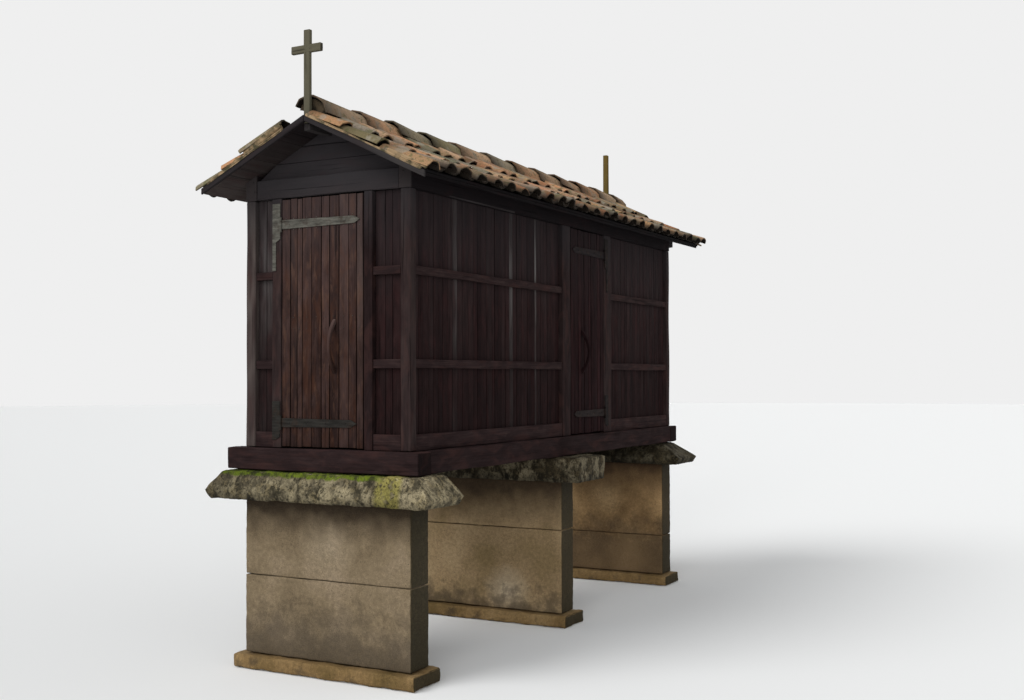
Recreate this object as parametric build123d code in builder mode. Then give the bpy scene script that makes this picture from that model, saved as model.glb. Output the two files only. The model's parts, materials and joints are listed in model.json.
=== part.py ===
"""Raised granary: a narrow boarded chamber on three stone piers, under a tiled gable roof.

Lengths are millimetres. X runs across the chamber, Y along it from the door gable to the rear
gable, and Z up from the ground. The origin lies on the ground, under the middle of the roof.
"""

import math
import os

from build123d import *

os.makedirs("parts", exist_ok=True)

# Chamber, over its corner posts
chamber_width = 1500
chamber_length = 5040

# Stone supports
footing_height = 115
footing_reach = 70
pier_thickness = 240
front_pier_joint_height = 705
middle_pier_joint_height = 845
rear_pier_joint_height = 520
pier_edge_chamfer = 14

# Capstones: the front and rear ones slope up from a low rim, the middle one is nearly a block
capstone_underside = 1275
capstone_thickness = 225
capstone_side_reach = 260
capstone_front_reach = 180
front_capstone_rear_reach = 85
middle_capstone_rear_reach = 155
rear_capstone_rear_reach = 120
capstone_foot_inset = 40
capstone_rim_height = 70
front_capstone_top_inset = 130
rear_capstone_top_inset = 240
block_capstone_rim_height = 205
block_capstone_inset = 15

# Sill frame and floor
sill_height = 168
sill_beam_width = 180
sill_front_step = 60
sill_left_reach = 130
sill_right_reach = 100
side_sill_width = 150
side_sill_step = 50
floor_thickness = 28
timber_chamfer = 5

# Wall frame
post_width = 90
post_depth = 80
post_height = 1870
tie_beam_height = 152
plate_width = 100
plate_outer_height = 142
jamb_depth = 72
rail_thickness = 32
rail_setback = 8
board_thickness = 22
bottom_rail_height = 117
middle_rail_height = 66
middle_rail_level = 588
upper_rail_height = 63
upper_rail_level = 1260

# Front door opening, measured from the middle of the gable
front_opening_left = -410
front_opening_right = 345
front_jamb_left_width = 87
front_jamb_right_width = 75

# Side door opening, measured back from the front gable
side_opening_front = 2600
side_opening_rear = 3327
side_jamb_width = 160

# Door leaves
leaf_thickness = 25
leaf_gap = 7
ledge_thickness = 24
ledge_height = 110
ledge_inset = 40
middle_ledge_level = 930
pull_height = 400
pull_width = 30
pull_reach = 78
pull_thickness = 22
pull_foot = 45
pull_level = 751
front_pull_from_edge = 254
side_pull_from_edge = 235

# Strap hinges: the lower one above the sill, the upper one below the head of the door
lower_hinge_level = 188
upper_hinge_drop = 198
strap_root_width = 68
strap_end_width = 54
strap_thickness = 6
strap_tip = 50
lower_strap_free_gap = 52
upper_strap_free_gap = 25
pin_radius = 5
pin_clearance = 0.3
knuckle_wall = 4
knuckle_height = 20
knuckle_gap = 1
knuckle_face_gap = 1.2
hinge_leaf_width = 72
hinge_leaf_rise = 160
hinge_leaf_drop = 130
hinge_leaf_shoulder = 25
hinge_tail_width = 32
hinge_tail_drop = 345

# Roof
roof_angle = 25.5
front_overhang = 270
rear_overhang = 330
eave_reach = 290
deck_thickness = 22
deck_eave_setback = 70
deck_verge_setback = 35
barge_thickness = 22
barge_left_setback = 108
barge_right_setback = 13
barge_joint = 2
barge_tile_gap = 0.5
ridge_beam_width = 56
ridge_beam_height = 64
ridge_beam_setback = 55

# Clay tiles
tile_pitch = 215
tile_wave_angle = 68
channel_tile_radius = 42
tile_wall = 15
tile_hollow_flats = 4
channel_flat_share = 0.45
tile_seat_gap = 0.3
tile_ridge_gap = 6
ridge_tile_radius = 130
ridge_tile_taper = 22
ridge_tile_pitch = 455
ridge_hollow_sides = 8

# Ridge ornaments
cross_shaft_width = 48
cross_thickness = 32
cross_distance_from_verge = 48
cross_rise = 667
cross_arm_span = 268
cross_arm_height = 59
cross_arm_rise = 500
cross_arm_shift = 7
finial_section = 50
finial_distance_from_verge = 300
finial_rise = 605
ornament_notch_gap = 2

# Levels above the ground
sill_level = capstone_underside + capstone_thickness
post_level = sill_level + sill_height
plate_level = post_level + post_height
wall_top = plate_level + tie_beam_height

# Places along and across the chamber
roof_length = chamber_length + front_overhang + rear_overhang
verge_front = -roof_length / 2
verge_rear = roof_length / 2
front_face = verge_front + front_overhang
rear_face = verge_rear - rear_overhang
side_face = chamber_width / 2
eave_edge = side_face + eave_reach

slope = math.tan(math.radians(roof_angle))
slope_cos = math.cos(math.radians(roof_angle))
slope_sin = math.sin(math.radians(roof_angle))
plate_outer_top = plate_level + plate_outer_height
apex_level = plate_outer_top + slope * side_face


def slab(x0, x1, y0, y1, z0, z1, mode=Mode.ADD):
    """Adds a squared timber or slab between two opposite corners to the open part."""
    with Locations(((x0 + x1) / 2, (y0 + y1) / 2, (z0 + z1) / 2)):
        Box(x1 - x0, y1 - y0, z1 - z0, mode=mode)


def save(builder, name):
    """Labels a finished piece and writes it as its own file."""
    builder.part.label = name
    export_step(builder.part, f"parts/{name}.step")


# Footings: one low slab under each pier
pier_places = {
    "front": front_face + pier_thickness / 2,
    "middle": (front_face + rear_face) / 2,
    "rear": rear_face - pier_thickness / 2,
}
with BuildPart() as footings:
    with Locations(*[(0, y, footing_height / 2) for y in pier_places.values()]):
        Box(chamber_width + 2 * footing_reach, pier_thickness + 2 * footing_reach, footing_height)
save(footings, "footings")

# Piers: two big squared stones each, with a wide capstone that stops mice
piers = [
    (
        "front", front_pier_joint_height, front_capstone_rear_reach,
        capstone_foot_inset, capstone_rim_height, front_capstone_top_inset,
    ),
    (
        "middle", middle_pier_joint_height, middle_capstone_rear_reach,
        block_capstone_inset, block_capstone_rim_height, block_capstone_inset,
    ),
    (
        "rear", rear_pier_joint_height, rear_capstone_rear_reach,
        capstone_foot_inset, capstone_rim_height, rear_capstone_top_inset,
    ),
]
for place, joint_level, rear_reach, foot_inset, rim_height, top_inset in piers:
    pier_y = pier_places[place]
    with BuildPart() as lower_stone:
        with BuildSketch(Plane.XY.offset(footing_height)):
            with Locations((0, pier_y)):
                Rectangle(chamber_width, pier_thickness)
        extrude(amount=joint_level - footing_height)
        chamfer(lower_stone.edges(), pier_edge_chamfer)
    save(lower_stone, f"pier_{place}_lower_stone")

    with BuildPart() as upper_stone:
        with BuildSketch(Plane.XY.offset(joint_level)):
            with Locations((0, pier_y)):
                Rectangle(chamber_width, pier_thickness)
        extrude(amount=capstone_underside - joint_level)
        chamfer(upper_stone.edges(), pier_edge_chamfer)
    save(upper_stone, f"pier_{place}_upper_stone")

    cap_width = chamber_width + 2 * capstone_side_reach
    cap_depth = pier_thickness + capstone_front_reach + rear_reach
    cap_y = pier_y + (rear_reach - capstone_front_reach) / 2
    cap_levels = [
        (capstone_underside, foot_inset),
        (capstone_underside + rim_height, 0),
        (sill_level, top_inset),
    ]
    with BuildPart() as capstone:
        for level, inset in cap_levels:
            with BuildSketch(Plane.XY.offset(level)):
                with Locations((0, cap_y)):
                    Rectangle(cap_width - 2 * inset, cap_depth - inset)
        loft(ruled=True)
    save(capstone, f"capstone_{place}")

# Sill frame: crossing beams under the gables, long beams between them under the sides
sill_front_edge = front_face - sill_front_step
sill_rear_edge = rear_face + sill_front_step
with BuildPart() as sill_front:
    slab(
        -side_face - sill_left_reach, side_face + sill_right_reach,
        sill_front_edge, sill_front_edge + sill_beam_width, sill_level, post_level,
    )
    chamfer(sill_front.edges().filter_by(Axis.X), timber_chamfer)
save(sill_front, "sill_front")

with BuildPart() as sill_rear:
    slab(
        -side_face - side_sill_step, side_face + side_sill_step,
        sill_rear_edge - sill_beam_width, sill_rear_edge, sill_level, post_level,
    )
    chamfer(sill_rear.edges().filter_by(Axis.X), timber_chamfer)
save(sill_rear, "sill_rear")

floor_front = sill_front_edge + sill_beam_width
floor_rear = sill_rear_edge - sill_beam_width
sill_outer = side_face + side_sill_step
sill_inner = sill_outer - side_sill_width
with BuildPart() as side_sills:
    slab(-sill_outer, -sill_inner, floor_front, floor_rear, sill_level, post_level)
    slab(sill_inner, sill_outer, floor_front, floor_rear, sill_level, post_level)
    chamfer(side_sills.edges().filter_by(Axis.Y), timber_chamfer)
save(side_sills, "side_sills")

with BuildPart() as chamber_floor:
    slab(
        -sill_inner, sill_inner, floor_front, floor_rear,
        post_level - timber_chamfer - floor_thickness, post_level - timber_chamfer,
    )
save(chamber_floor, "chamber_floor")

# Corner posts, from the sill frame to the wall plates
post_inner = side_face - post_width
post_x = side_face - post_width / 2
for end, post_y in (("front", front_face + post_depth / 2), ("rear", rear_face - post_depth / 2)):
    with BuildPart() as posts:
        with BuildSketch(Plane.XY.offset(post_level)):
            with Locations((-post_x, post_y), (post_x, post_y)):
                Rectangle(post_width, post_depth)
        extrude(amount=post_height)
        chamfer(posts.edges().filter_by(Axis.Z), timber_chamfer)
    save(posts, f"{end}_posts")

# Tie beams over the gable frames and wall plates over the side frames
plate_inner = side_face - plate_width
with BuildPart() as tie_beams:
    slab(-plate_inner, plate_inner, front_face, front_face + post_depth, plate_level, wall_top)
    slab(-plate_inner, plate_inner, rear_face - post_depth, rear_face, plate_level, wall_top)
save(tie_beams, "tie_beams")

plate_inner_top = apex_level - slope * plate_inner
with BuildPart() as wall_plates:
    with BuildSketch(Plane.XZ.offset(-front_face)):
        for sign in (-1, 1):
            with BuildLine():
                Polyline(
                    (sign * plate_inner, plate_level),
                    (sign * side_face, plate_level),
                    (sign * side_face, plate_outer_top),
                    (sign * plate_inner, plate_inner_top),
                    close=True,
                )
            make_face()
    extrude(amount=-chamber_length)
save(wall_plates, "wall_plates")

# Door jambs
with BuildPart() as front_door_jambs:
    slab(
        front_opening_left - front_jamb_left_width, front_opening_left,
        front_face, front_face + jamb_depth, post_level, plate_level,
    )
    slab(
        front_opening_right, front_opening_right + front_jamb_right_width,
        front_face, front_face + jamb_depth, post_level, plate_level,
    )
save(front_door_jambs, "front_door_jambs")

side_door_front = front_face + side_opening_front
side_door_rear = front_face + side_opening_rear
with BuildPart() as side_door_jambs:
    slab(
        side_face - jamb_depth, side_face,
        side_door_front - side_jamb_width, side_door_front, post_level, plate_level,
    )
    slab(
        side_face - jamb_depth, side_face,
        side_door_rear, side_door_rear + side_jamb_width, post_level, plate_level,
    )
save(side_door_jambs, "side_door_jambs")

# Wall panels: boards behind three rails, filling the frame between posts and jambs
front_bays = [
    (-post_inner, front_opening_left - front_jamb_left_width),
    (front_opening_right + front_jamb_right_width, post_inner),
]
rear_bays = [(-post_inner, post_inner)]
post_front_back = front_face + post_depth
post_rear_front = rear_face - post_depth
right_bays = [
    (post_front_back, side_door_front - side_jamb_width),
    (side_door_rear + side_jamb_width, post_rear_front),
]
left_bays = [(post_front_back, post_rear_front)]
rail_spans = [
    (post_level, bottom_rail_height),
    (post_level + middle_rail_level, middle_rail_height),
    (post_level + upper_rail_level, upper_rail_height),
]
board_setback = rail_setback + rail_thickness


def end_wall(bays, outer_y, inward, depths, spans):
    """Adds what fills the bays of a gable frame, between two depths behind its outer face."""
    y_near = outer_y + inward * depths[0]
    y_far = outer_y + inward * depths[1]
    for x0, x1 in bays:
        for level, height in spans:
            slab(x0, x1, min(y_near, y_far), max(y_near, y_far), level, level + height)


def side_wall(bays, sign, depths, spans):
    """Adds what fills the bays of a side frame, between two depths behind its outer face."""
    x_near = sign * (side_face - depths[0])
    x_far = sign * (side_face - depths[1])
    for y0, y1 in bays:
        for level, height in spans:
            slab(min(x_near, x_far), max(x_near, x_far), y0, y1, level, level + height)


rail_depths = (rail_setback, board_setback)
board_depths = (board_setback, board_setback + board_thickness)
full_height = [(post_level, post_height)]

for end, bays, outer_y, inward in (
    ("front", front_bays, front_face, 1),
    ("rear", rear_bays, rear_face, -1),
):
    with BuildPart() as end_rails:
        end_wall(bays, outer_y, inward, rail_depths, rail_spans)
    save(end_rails, f"rails_{end}")
    with BuildPart() as end_boards:
        end_wall(bays, outer_y, inward, board_depths, full_height)
    save(end_boards, f"boards_{end}")

for side, bays, sign in (("left", left_bays, -1), ("right", right_bays, 1)):
    with BuildPart() as side_rails:
        side_wall(bays, sign, rail_depths, rail_spans)
    save(side_rails, f"rails_{side}")
    with BuildPart() as side_boards:
        side_wall(bays, sign, board_depths, full_height)
    save(side_boards, f"boards_{side}")

# Ridge beam, its top cut to the two roof slopes
beam_half = ridge_beam_width / 2
with BuildPart() as ridge_beam:
    with BuildSketch(Plane.XZ.offset(-verge_front - ridge_beam_setback)):
        with BuildLine():
            Polyline(
                (-beam_half, apex_level - ridge_beam_height),
                (beam_half, apex_level - ridge_beam_height),
                (beam_half, apex_level - slope * beam_half),
                (0, apex_level),
                (-beam_half, apex_level - slope * beam_half),
                close=True,
            )
        make_face()
    extrude(amount=2 * ridge_beam_setback - roof_length)
save(ridge_beam, "ridge_beam")

# Gable boarding over the tie beams, cut out for the ridge beam
with BuildPart() as gable_boards:
    for gable_y in (front_face + board_setback, rear_face - board_setback - board_thickness):
        with BuildSketch(Plane.XZ.offset(-gable_y)):
            with BuildLine():
                Polyline(
                    (-plate_inner, wall_top),
                    (plate_inner, wall_top),
                    (plate_inner, plate_inner_top),
                    (0, apex_level),
                    (-plate_inner, plate_inner_top),
                    close=True,
                )
            make_face()
            with Locations((0, apex_level - ridge_beam_height / 2)):
                Rectangle(ridge_beam_width, ridge_beam_height, mode=Mode.SUBTRACT)
        extrude(amount=-board_thickness)
save(gable_boards, "gable_boards")

# Ornaments on the ridge: a cross at the front, a plain post at the rear
cross_top = apex_level + cross_rise
finial_top = apex_level + finial_rise
cross_y = verge_front + cross_distance_from_verge + cross_thickness / 2
finial_y = verge_rear - finial_distance_from_verge
cross_half = cross_shaft_width / 2


def ornament_notches():
    """Cuts the room for the feet of the two ridge ornaments out of the open part."""
    for post_y, width, depth in (
        (cross_y, cross_shaft_width, cross_thickness),
        (finial_y, finial_section, finial_section),
    ):
        side = width / 2 + ornament_notch_gap
        reach = depth / 2 + ornament_notch_gap
        slab(-side, side, post_y - reach, post_y + reach, wall_top, cross_top, mode=Mode.SUBTRACT)


with BuildPart() as ridge_cross:
    with BuildSketch(Plane.XZ.offset(cross_thickness / 2 - cross_y)):
        with BuildLine():
            Polyline(
                (-cross_half, apex_level - slope * cross_half),
                (0, apex_level),
                (cross_half, apex_level - slope * cross_half),
                (cross_half, cross_top),
                (-cross_half, cross_top),
                close=True,
            )
        make_face()
        with Locations((-cross_arm_shift, apex_level + cross_arm_rise + cross_arm_height / 2)):
            Rectangle(cross_arm_span, cross_arm_height)
    extrude(amount=-cross_thickness)
save(ridge_cross, "ridge_cross")

with BuildPart() as ridge_finial:
    with BuildSketch(Plane.XZ.offset(-(finial_y - finial_section / 2))):
        with BuildLine():
            Polyline(
                (-finial_section / 2, apex_level - slope * finial_section / 2),
                (0, apex_level),
                (finial_section / 2, apex_level - slope * finial_section / 2),
                (finial_section / 2, finial_top),
                (-finial_section / 2, finial_top),
                close=True,
            )
        make_face()
    extrude(amount=-finial_section)
save(ridge_finial, "ridge_finial")

# Roof decks, one on each slope
deck_rise = deck_thickness / slope_cos
deck_edge = eave_edge - deck_eave_setback
deck_front = verge_front + deck_verge_setback
deck_length = roof_length - 2 * deck_verge_setback
for side, sign in (("left", -1), ("right", 1)):
    with BuildPart() as roof_deck:
        with BuildSketch(Plane.XZ.offset(-deck_front)):
            with BuildLine():
                Polyline(
                    (0, apex_level),
                    (0, apex_level + deck_rise),
                    (sign * deck_edge, apex_level + deck_rise - slope * deck_edge),
                    (sign * deck_edge, apex_level - slope * deck_edge),
                    close=True,
                )
            make_face()
        extrude(amount=-deck_length)
        ornament_notches()
    save(roof_deck, f"roof_deck_{side}")

# Clay tiles: covers and channels as one wave of tangent arcs over an underside of short flats,
# run down from ridge to eave
wave_sin = math.sin(math.radians(tile_wave_angle))
wave_cos = math.cos(math.radians(tile_wave_angle))
channel_span = 2 * channel_tile_radius * wave_sin
wave_length = roof_length - 2 * tile_wall * wave_sin
cover_rows = round((wave_length + channel_span) / tile_pitch)
row_pitch = (wave_length + channel_span) / cover_rows
cover_span = row_pitch - channel_span
cover_tile_radius = cover_span / (2 * wave_sin)
joint_height = channel_tile_radius * (1 - wave_cos)
cover_height = joint_height + cover_tile_radius * (1 - wave_cos)
tile_base = apex_level + (deck_thickness + tile_seat_gap) / slope_cos
slope_length = eave_edge / slope_cos


def tile_tops(flip):
    """Draws the weather side of the tiles along the roof."""
    for row in range(cover_rows):
        start = tile_wall * wave_sin + row * row_pitch
        cover_left = (start - tile_wall * wave_sin, flip * (joint_height + tile_wall * wave_cos))
        cover_top = (start + cover_span / 2, flip * (cover_height + tile_wall))
        cover_right = (start + cover_span + tile_wall * wave_sin, cover_left[1])
        ThreePointArc(cover_left, cover_top, cover_right)
        if row < cover_rows - 1:
            channel_bottom = (start + cover_span + channel_span / 2, flip * tile_wall)
            next_left = (cover_left[0] + row_pitch, cover_left[1])
            ThreePointArc(cover_right, channel_bottom, next_left)


def tile_undersides(flip):
    """Draws the covers' hollows and the channels' seats on the deck as one line of flats."""
    corners = []
    for row in range(cover_rows):
        middle = tile_wall * wave_sin + row * row_pitch + cover_span / 2
        for step in range(tile_hollow_flats + 1):
            angle = math.radians(tile_wave_angle * (2 * step / tile_hollow_flats - 1))
            drop = cover_tile_radius * (1 - math.cos(angle))
            corners.append((middle + cover_tile_radius * math.sin(angle), flip * (cover_height - drop)))
        if row < cover_rows - 1:
            seat_middle = middle + row_pitch / 2
            seat_half = channel_flat_share * channel_span / 2
            corners += [(seat_middle - seat_half, 0), (seat_middle + seat_half, 0)]
    Polyline(*corners)


for side, sign in (("left", -1), ("right", 1)):
    tile_plane = Plane(
        origin=(sign * tile_ridge_gap * slope_cos, verge_front, tile_base - tile_ridge_gap * slope_sin),
        x_dir=(0, 1, 0),
        z_dir=(sign * slope_cos, 0, -slope_sin),
    )
    with BuildPart() as roof_tiles:
        with BuildSketch(tile_plane):
            with BuildLine():
                tile_undersides(sign)
                tile_tops(sign)
                lip = sign * (joint_height + tile_wall * wave_cos)
                Line((tile_wall * wave_sin, sign * joint_height), (0, lip))
                Line((roof_length - tile_wall * wave_sin, sign * joint_height), (roof_length, lip))
            make_face()
        extrude(amount=slope_length - tile_ridge_gap)
        ornament_notches()
    save(roof_tiles, f"roof_tiles_{side}")

# Barge boards, from the underside of the decks up to the lips of the verge tiles
barge_rise = (deck_thickness + tile_seat_gap + joint_height) / slope_cos - barge_tile_gap
barge_inner = barge_joint / 2
with BuildPart() as barge_boards:
    for barge_y in (deck_front - barge_thickness, deck_front + deck_length):
        with BuildSketch(Plane.XZ.offset(-barge_y)):
            for sign, setback in ((-1, barge_left_setback), (1, barge_right_setback)):
                barge_end = eave_edge - setback
                with BuildLine():
                    Polyline(
                        (sign * barge_inner, apex_level - slope * barge_inner),
                        (sign * barge_end, apex_level - slope * barge_end),
                        (sign * barge_end, apex_level - slope * barge_end + barge_rise),
                        (sign * barge_inner, apex_level - slope * barge_inner + barge_rise),
                        close=True,
                    )
                make_face()
        extrude(amount=-barge_thickness)
save(barge_boards, "barge_boards")

# Ridge tiles: half-round caps, each thicker where it laps over the narrow end of the one before
tile_crest = tile_base + (cover_height + tile_wall) / slope_cos
narrow_radius = ridge_tile_radius - ridge_tile_taper
hollow_radius = narrow_radius - tile_wall
ridge_seat = tile_crest - slope * hollow_radius + tile_seat_gap
ridge_runs = [
    (cross_y + cross_thickness / 2 + ornament_notch_gap, finial_y - finial_section / 2 - ornament_notch_gap),
    (finial_y + finial_section / 2 + ornament_notch_gap, verge_rear),
]
with BuildPart() as ridge_tiles:
    for run_start, run_end in ridge_runs:
        tile_count = max(1, round((run_end - run_start) / ridge_tile_pitch))
        tile_length = (run_end - run_start) / tile_count
        for index in range(tile_count):
            lap_plane = Plane(
                origin=(0, run_start + index * tile_length, ridge_seat), x_dir=(-1, 0, 0), z_dir=(0, 1, 0)
            )
            with Locations(lap_plane):
                Cone(ridge_tile_radius, narrow_radius, tile_length, arc_size=180, align=None)
        with BuildSketch(Plane(origin=(0, run_start, ridge_seat), x_dir=(-1, 0, 0), z_dir=(0, 1, 0))):
            RegularPolygon(hollow_radius, ridge_hollow_sides)
        extrude(amount=run_end - run_start, mode=Mode.SUBTRACT)
save(ridge_tiles, "ridge_tiles")

# Door leaves: boards with three ledges behind them
leaf_bottom = post_level + leaf_gap
leaf_top = plate_level - leaf_gap
ledge_depth = leaf_thickness + ledge_thickness
upper_hinge_level = post_height - upper_hinge_drop
ledge_levels = (lower_hinge_level, middle_ledge_level, upper_hinge_level)
with BuildPart() as front_door:
    slab(
        front_opening_left + leaf_gap, front_opening_right - leaf_gap,
        front_face, front_face + leaf_thickness, leaf_bottom, leaf_top,
    )
    for level in ledge_levels:
        slab(
            front_opening_left + ledge_inset, front_opening_right - ledge_inset,
            front_face + leaf_thickness, front_face + ledge_depth,
            post_level + level - ledge_height / 2, post_level + level + ledge_height / 2,
        )
save(front_door, "front_door")

with BuildPart() as side_door:
    slab(
        side_face - leaf_thickness, side_face,
        side_door_front + leaf_gap, side_door_rear - leaf_gap, leaf_bottom, leaf_top,
    )
    for level in ledge_levels:
        slab(
            side_face - ledge_depth, side_face - leaf_thickness,
            side_door_front + ledge_inset, side_door_rear - ledge_inset,
            post_level + level - ledge_height / 2, post_level + level + ledge_height / 2,
        )
save(side_door, "side_door")

# Door ironwork and pulls, drawn on the outer face of each door with the hinge axis as origin;
# hand is 1 where the free edge lies towards the plane's X and -1 where it lies the other way
eye_inner = pin_radius + pin_clearance
eye_outer = eye_inner + knuckle_wall
pin_stand_off = eye_outer + knuckle_face_gap
doors = [
    (
        "front_door",
        Plane(
            origin=(front_opening_left + leaf_gap / 2, front_face, post_level),
            x_dir=(1, 0, 0),
            z_dir=(0, -1, 0),
        ),
        1,
        front_opening_right - front_opening_left,
        front_pull_from_edge,
    ),
    (
        "side_door",
        Plane(
            origin=(side_face, side_door_rear - leaf_gap / 2, post_level),
            x_dir=(0, 1, 0),
            z_dir=(1, 0, 0),
        ),
        -1,
        side_opening_rear - side_opening_front,
        side_pull_from_edge,
    ),
]
hinges = [
    (lower_hinge_level, lower_strap_free_gap, hinge_leaf_drop),
    (upper_hinge_level, upper_strap_free_gap, hinge_tail_drop),
]
for door, face, hand, opening, pull_from_edge in doors:
    free_edge = opening - 1.5 * leaf_gap

    # Tapered straps across the leaf, each with an eye round the pin
    with BuildPart() as straps:
        for level, free_gap, tail_drop in hinges:
            strap_end = free_edge - free_gap
            strap_shoulder = strap_end - strap_tip
            with BuildSketch(face):
                with BuildLine():
                    Polyline(
                        (hand * eye_inner, level - strap_root_width / 2),
                        (hand * strap_shoulder, level - strap_end_width / 2),
                        (hand * strap_end, level),
                        (hand * strap_shoulder, level + strap_end_width / 2),
                        (hand * eye_inner, level + strap_root_width / 2),
                        close=True,
                    )
                make_face()
            extrude(amount=strap_thickness)
            eye_plane = Plane(
                origin=face.from_local_coords((0, level - strap_root_width / 2, pin_stand_off)),
                z_dir=(0, 0, 1),
            )
            with BuildSketch(eye_plane):
                Circle(eye_outer)
            extrude(amount=strap_root_width)
            with BuildSketch(eye_plane):
                Circle(eye_inner)
            extrude(amount=strap_root_width, mode=Mode.SUBTRACT)
    save(straps, f"{door}_straps")

    # Bow pull, bent out from the leaf
    pull_plane = Plane(
        origin=face.from_local_coords((hand * (free_edge - pull_from_edge), pull_level, 0)),
        x_dir=face.z_dir,
        z_dir=face.z_dir.cross(Vector(0, 0, 1)),
    )
    half = pull_height / 2
    with BuildPart() as pull:
        with BuildSketch(pull_plane):
            with BuildLine():
                ThreePointArc((0, -half), (pull_reach, 0), (0, half))
                Line((0, half), (0, half - pull_foot))
                ThreePointArc((0, half - pull_foot), (pull_reach - pull_thickness, 0), (0, pull_foot - half))
                Line((0, pull_foot - half), (0, -half))
            make_face()
        extrude(amount=pull_width / 2, both=True)
    save(pull, f"{door}_pull")

# Fixed hinge leaves on the jambs, each with two knuckles and the pin between them, and the upper
# one with a long narrow tail
knuckle_inner = strap_root_width / 2 + knuckle_gap
knuckle_outer = knuckle_inner + knuckle_height
knuckle_middle = knuckle_inner + knuckle_height / 2
plate_edge = eye_outer + knuckle_gap
plate_back = plate_edge + hinge_leaf_width
tail_edge = plate_back - hinge_tail_width
pin_stages = (
    (-knuckle_outer, 2 * knuckle_outer, pin_radius),
    (-knuckle_outer, knuckle_height, eye_outer),
    (knuckle_inner, knuckle_height, eye_outer),
)
with BuildPart() as door_hinge_leaves:
    for door, face, hand, opening, pull_from_edge in doors:
        for level, free_gap, tail_drop in hinges:
            with BuildSketch(face):
                with BuildLine():
                    Polyline(
                        (-hand * plate_edge, level + hinge_leaf_rise),
                        (-hand * plate_back, level + hinge_leaf_rise),
                        (-hand * plate_back, level - hinge_leaf_drop),
                        (-hand * tail_edge, level - hinge_leaf_drop),
                        (-hand * plate_edge, level - hinge_leaf_drop + hinge_leaf_shoulder),
                        close=True,
                    )
                make_face()
                with Locations((-hand * (plate_back - hinge_tail_width / 2), level - tail_drop / 2)):
                    Rectangle(hinge_tail_width, tail_drop)
                for web in (-1, 1):
                    with Locations((-hand * plate_edge / 2, level + web * knuckle_middle)):
                        Rectangle(plate_edge, knuckle_height)
            extrude(amount=strap_thickness)
            for base, height, radius in pin_stages:
                pin_plane = Plane(
                    origin=face.from_local_coords((0, level + base, pin_stand_off)),
                    z_dir=(0, 0, 1),
                )
                with BuildSketch(pin_plane):
                    Circle(radius)
                extrude(amount=height)
save(door_hinge_leaves, "door_hinge_leaves")
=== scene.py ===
"""Looks of a raised granary: a boarded timber chamber on granite piers, under a roof of clay tiles.

Lengths are metres unless a name ends in _mm or _deg. X runs across the chamber, Y along it from the
door gable to the rear gable, and Z up from the ground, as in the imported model.
"""

from __future__ import annotations

import json
import logging
import math
from dataclasses import dataclass, replace
from enum import Enum
from functools import cached_property

import bpy
import numpy as np
from mathutils import Matrix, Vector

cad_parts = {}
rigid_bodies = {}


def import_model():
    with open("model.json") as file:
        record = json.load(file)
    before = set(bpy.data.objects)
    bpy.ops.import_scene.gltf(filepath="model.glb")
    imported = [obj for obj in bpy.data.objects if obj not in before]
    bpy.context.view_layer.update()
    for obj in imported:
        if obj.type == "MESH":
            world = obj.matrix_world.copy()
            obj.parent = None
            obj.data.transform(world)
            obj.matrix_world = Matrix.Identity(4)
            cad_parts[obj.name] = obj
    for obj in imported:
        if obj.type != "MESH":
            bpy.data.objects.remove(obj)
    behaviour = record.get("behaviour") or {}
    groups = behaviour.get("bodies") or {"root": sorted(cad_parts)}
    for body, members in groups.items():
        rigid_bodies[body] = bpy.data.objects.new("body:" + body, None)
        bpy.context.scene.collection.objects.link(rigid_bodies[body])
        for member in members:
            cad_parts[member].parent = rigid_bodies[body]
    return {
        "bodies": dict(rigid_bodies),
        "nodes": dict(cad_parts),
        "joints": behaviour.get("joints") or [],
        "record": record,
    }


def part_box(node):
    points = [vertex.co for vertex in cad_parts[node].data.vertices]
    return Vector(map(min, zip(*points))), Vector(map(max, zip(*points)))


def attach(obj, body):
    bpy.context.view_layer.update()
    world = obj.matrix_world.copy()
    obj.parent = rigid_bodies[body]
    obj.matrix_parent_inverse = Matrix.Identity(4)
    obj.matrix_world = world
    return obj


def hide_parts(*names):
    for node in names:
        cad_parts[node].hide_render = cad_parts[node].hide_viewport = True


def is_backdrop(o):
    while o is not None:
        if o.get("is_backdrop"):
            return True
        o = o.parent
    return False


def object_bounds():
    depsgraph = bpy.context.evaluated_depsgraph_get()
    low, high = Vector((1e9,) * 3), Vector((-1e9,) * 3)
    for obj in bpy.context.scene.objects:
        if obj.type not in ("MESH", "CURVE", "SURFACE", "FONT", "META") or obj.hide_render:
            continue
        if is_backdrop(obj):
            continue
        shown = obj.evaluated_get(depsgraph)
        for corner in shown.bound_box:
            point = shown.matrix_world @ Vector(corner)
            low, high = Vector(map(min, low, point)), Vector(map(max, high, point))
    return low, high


LOG = logging.getLogger("granary")

# Short names of types: values are one for all or one for each, and a span is where things start and stop.
Array = np.ndarray
Values = Array | float
Pair = tuple[float, float]
Triple = tuple[float, float, float]
Span = tuple[Values, Values]
Axes = tuple[Array, Array, Array]
Chance = np.random.Generator
Socket = bpy.types.NodeSocket
Material = bpy.types.Material


class Grain(Enum):
    """Which way the fibres of a timber run."""

    ACROSS = 0
    LENGTHWISE = 1
    UPRIGHT = 2
    MAPPED = 3


class Side(Enum):
    """A slope or long side of the building, by the sign of its X."""

    LEFT = -1
    RIGHT = 1


class Body(Enum):
    """The bodies that pieces ride on."""

    GRANARY = "granary"
    FRONT_DOOR = "front_door"
    SIDE_DOOR = "side_door"


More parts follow.
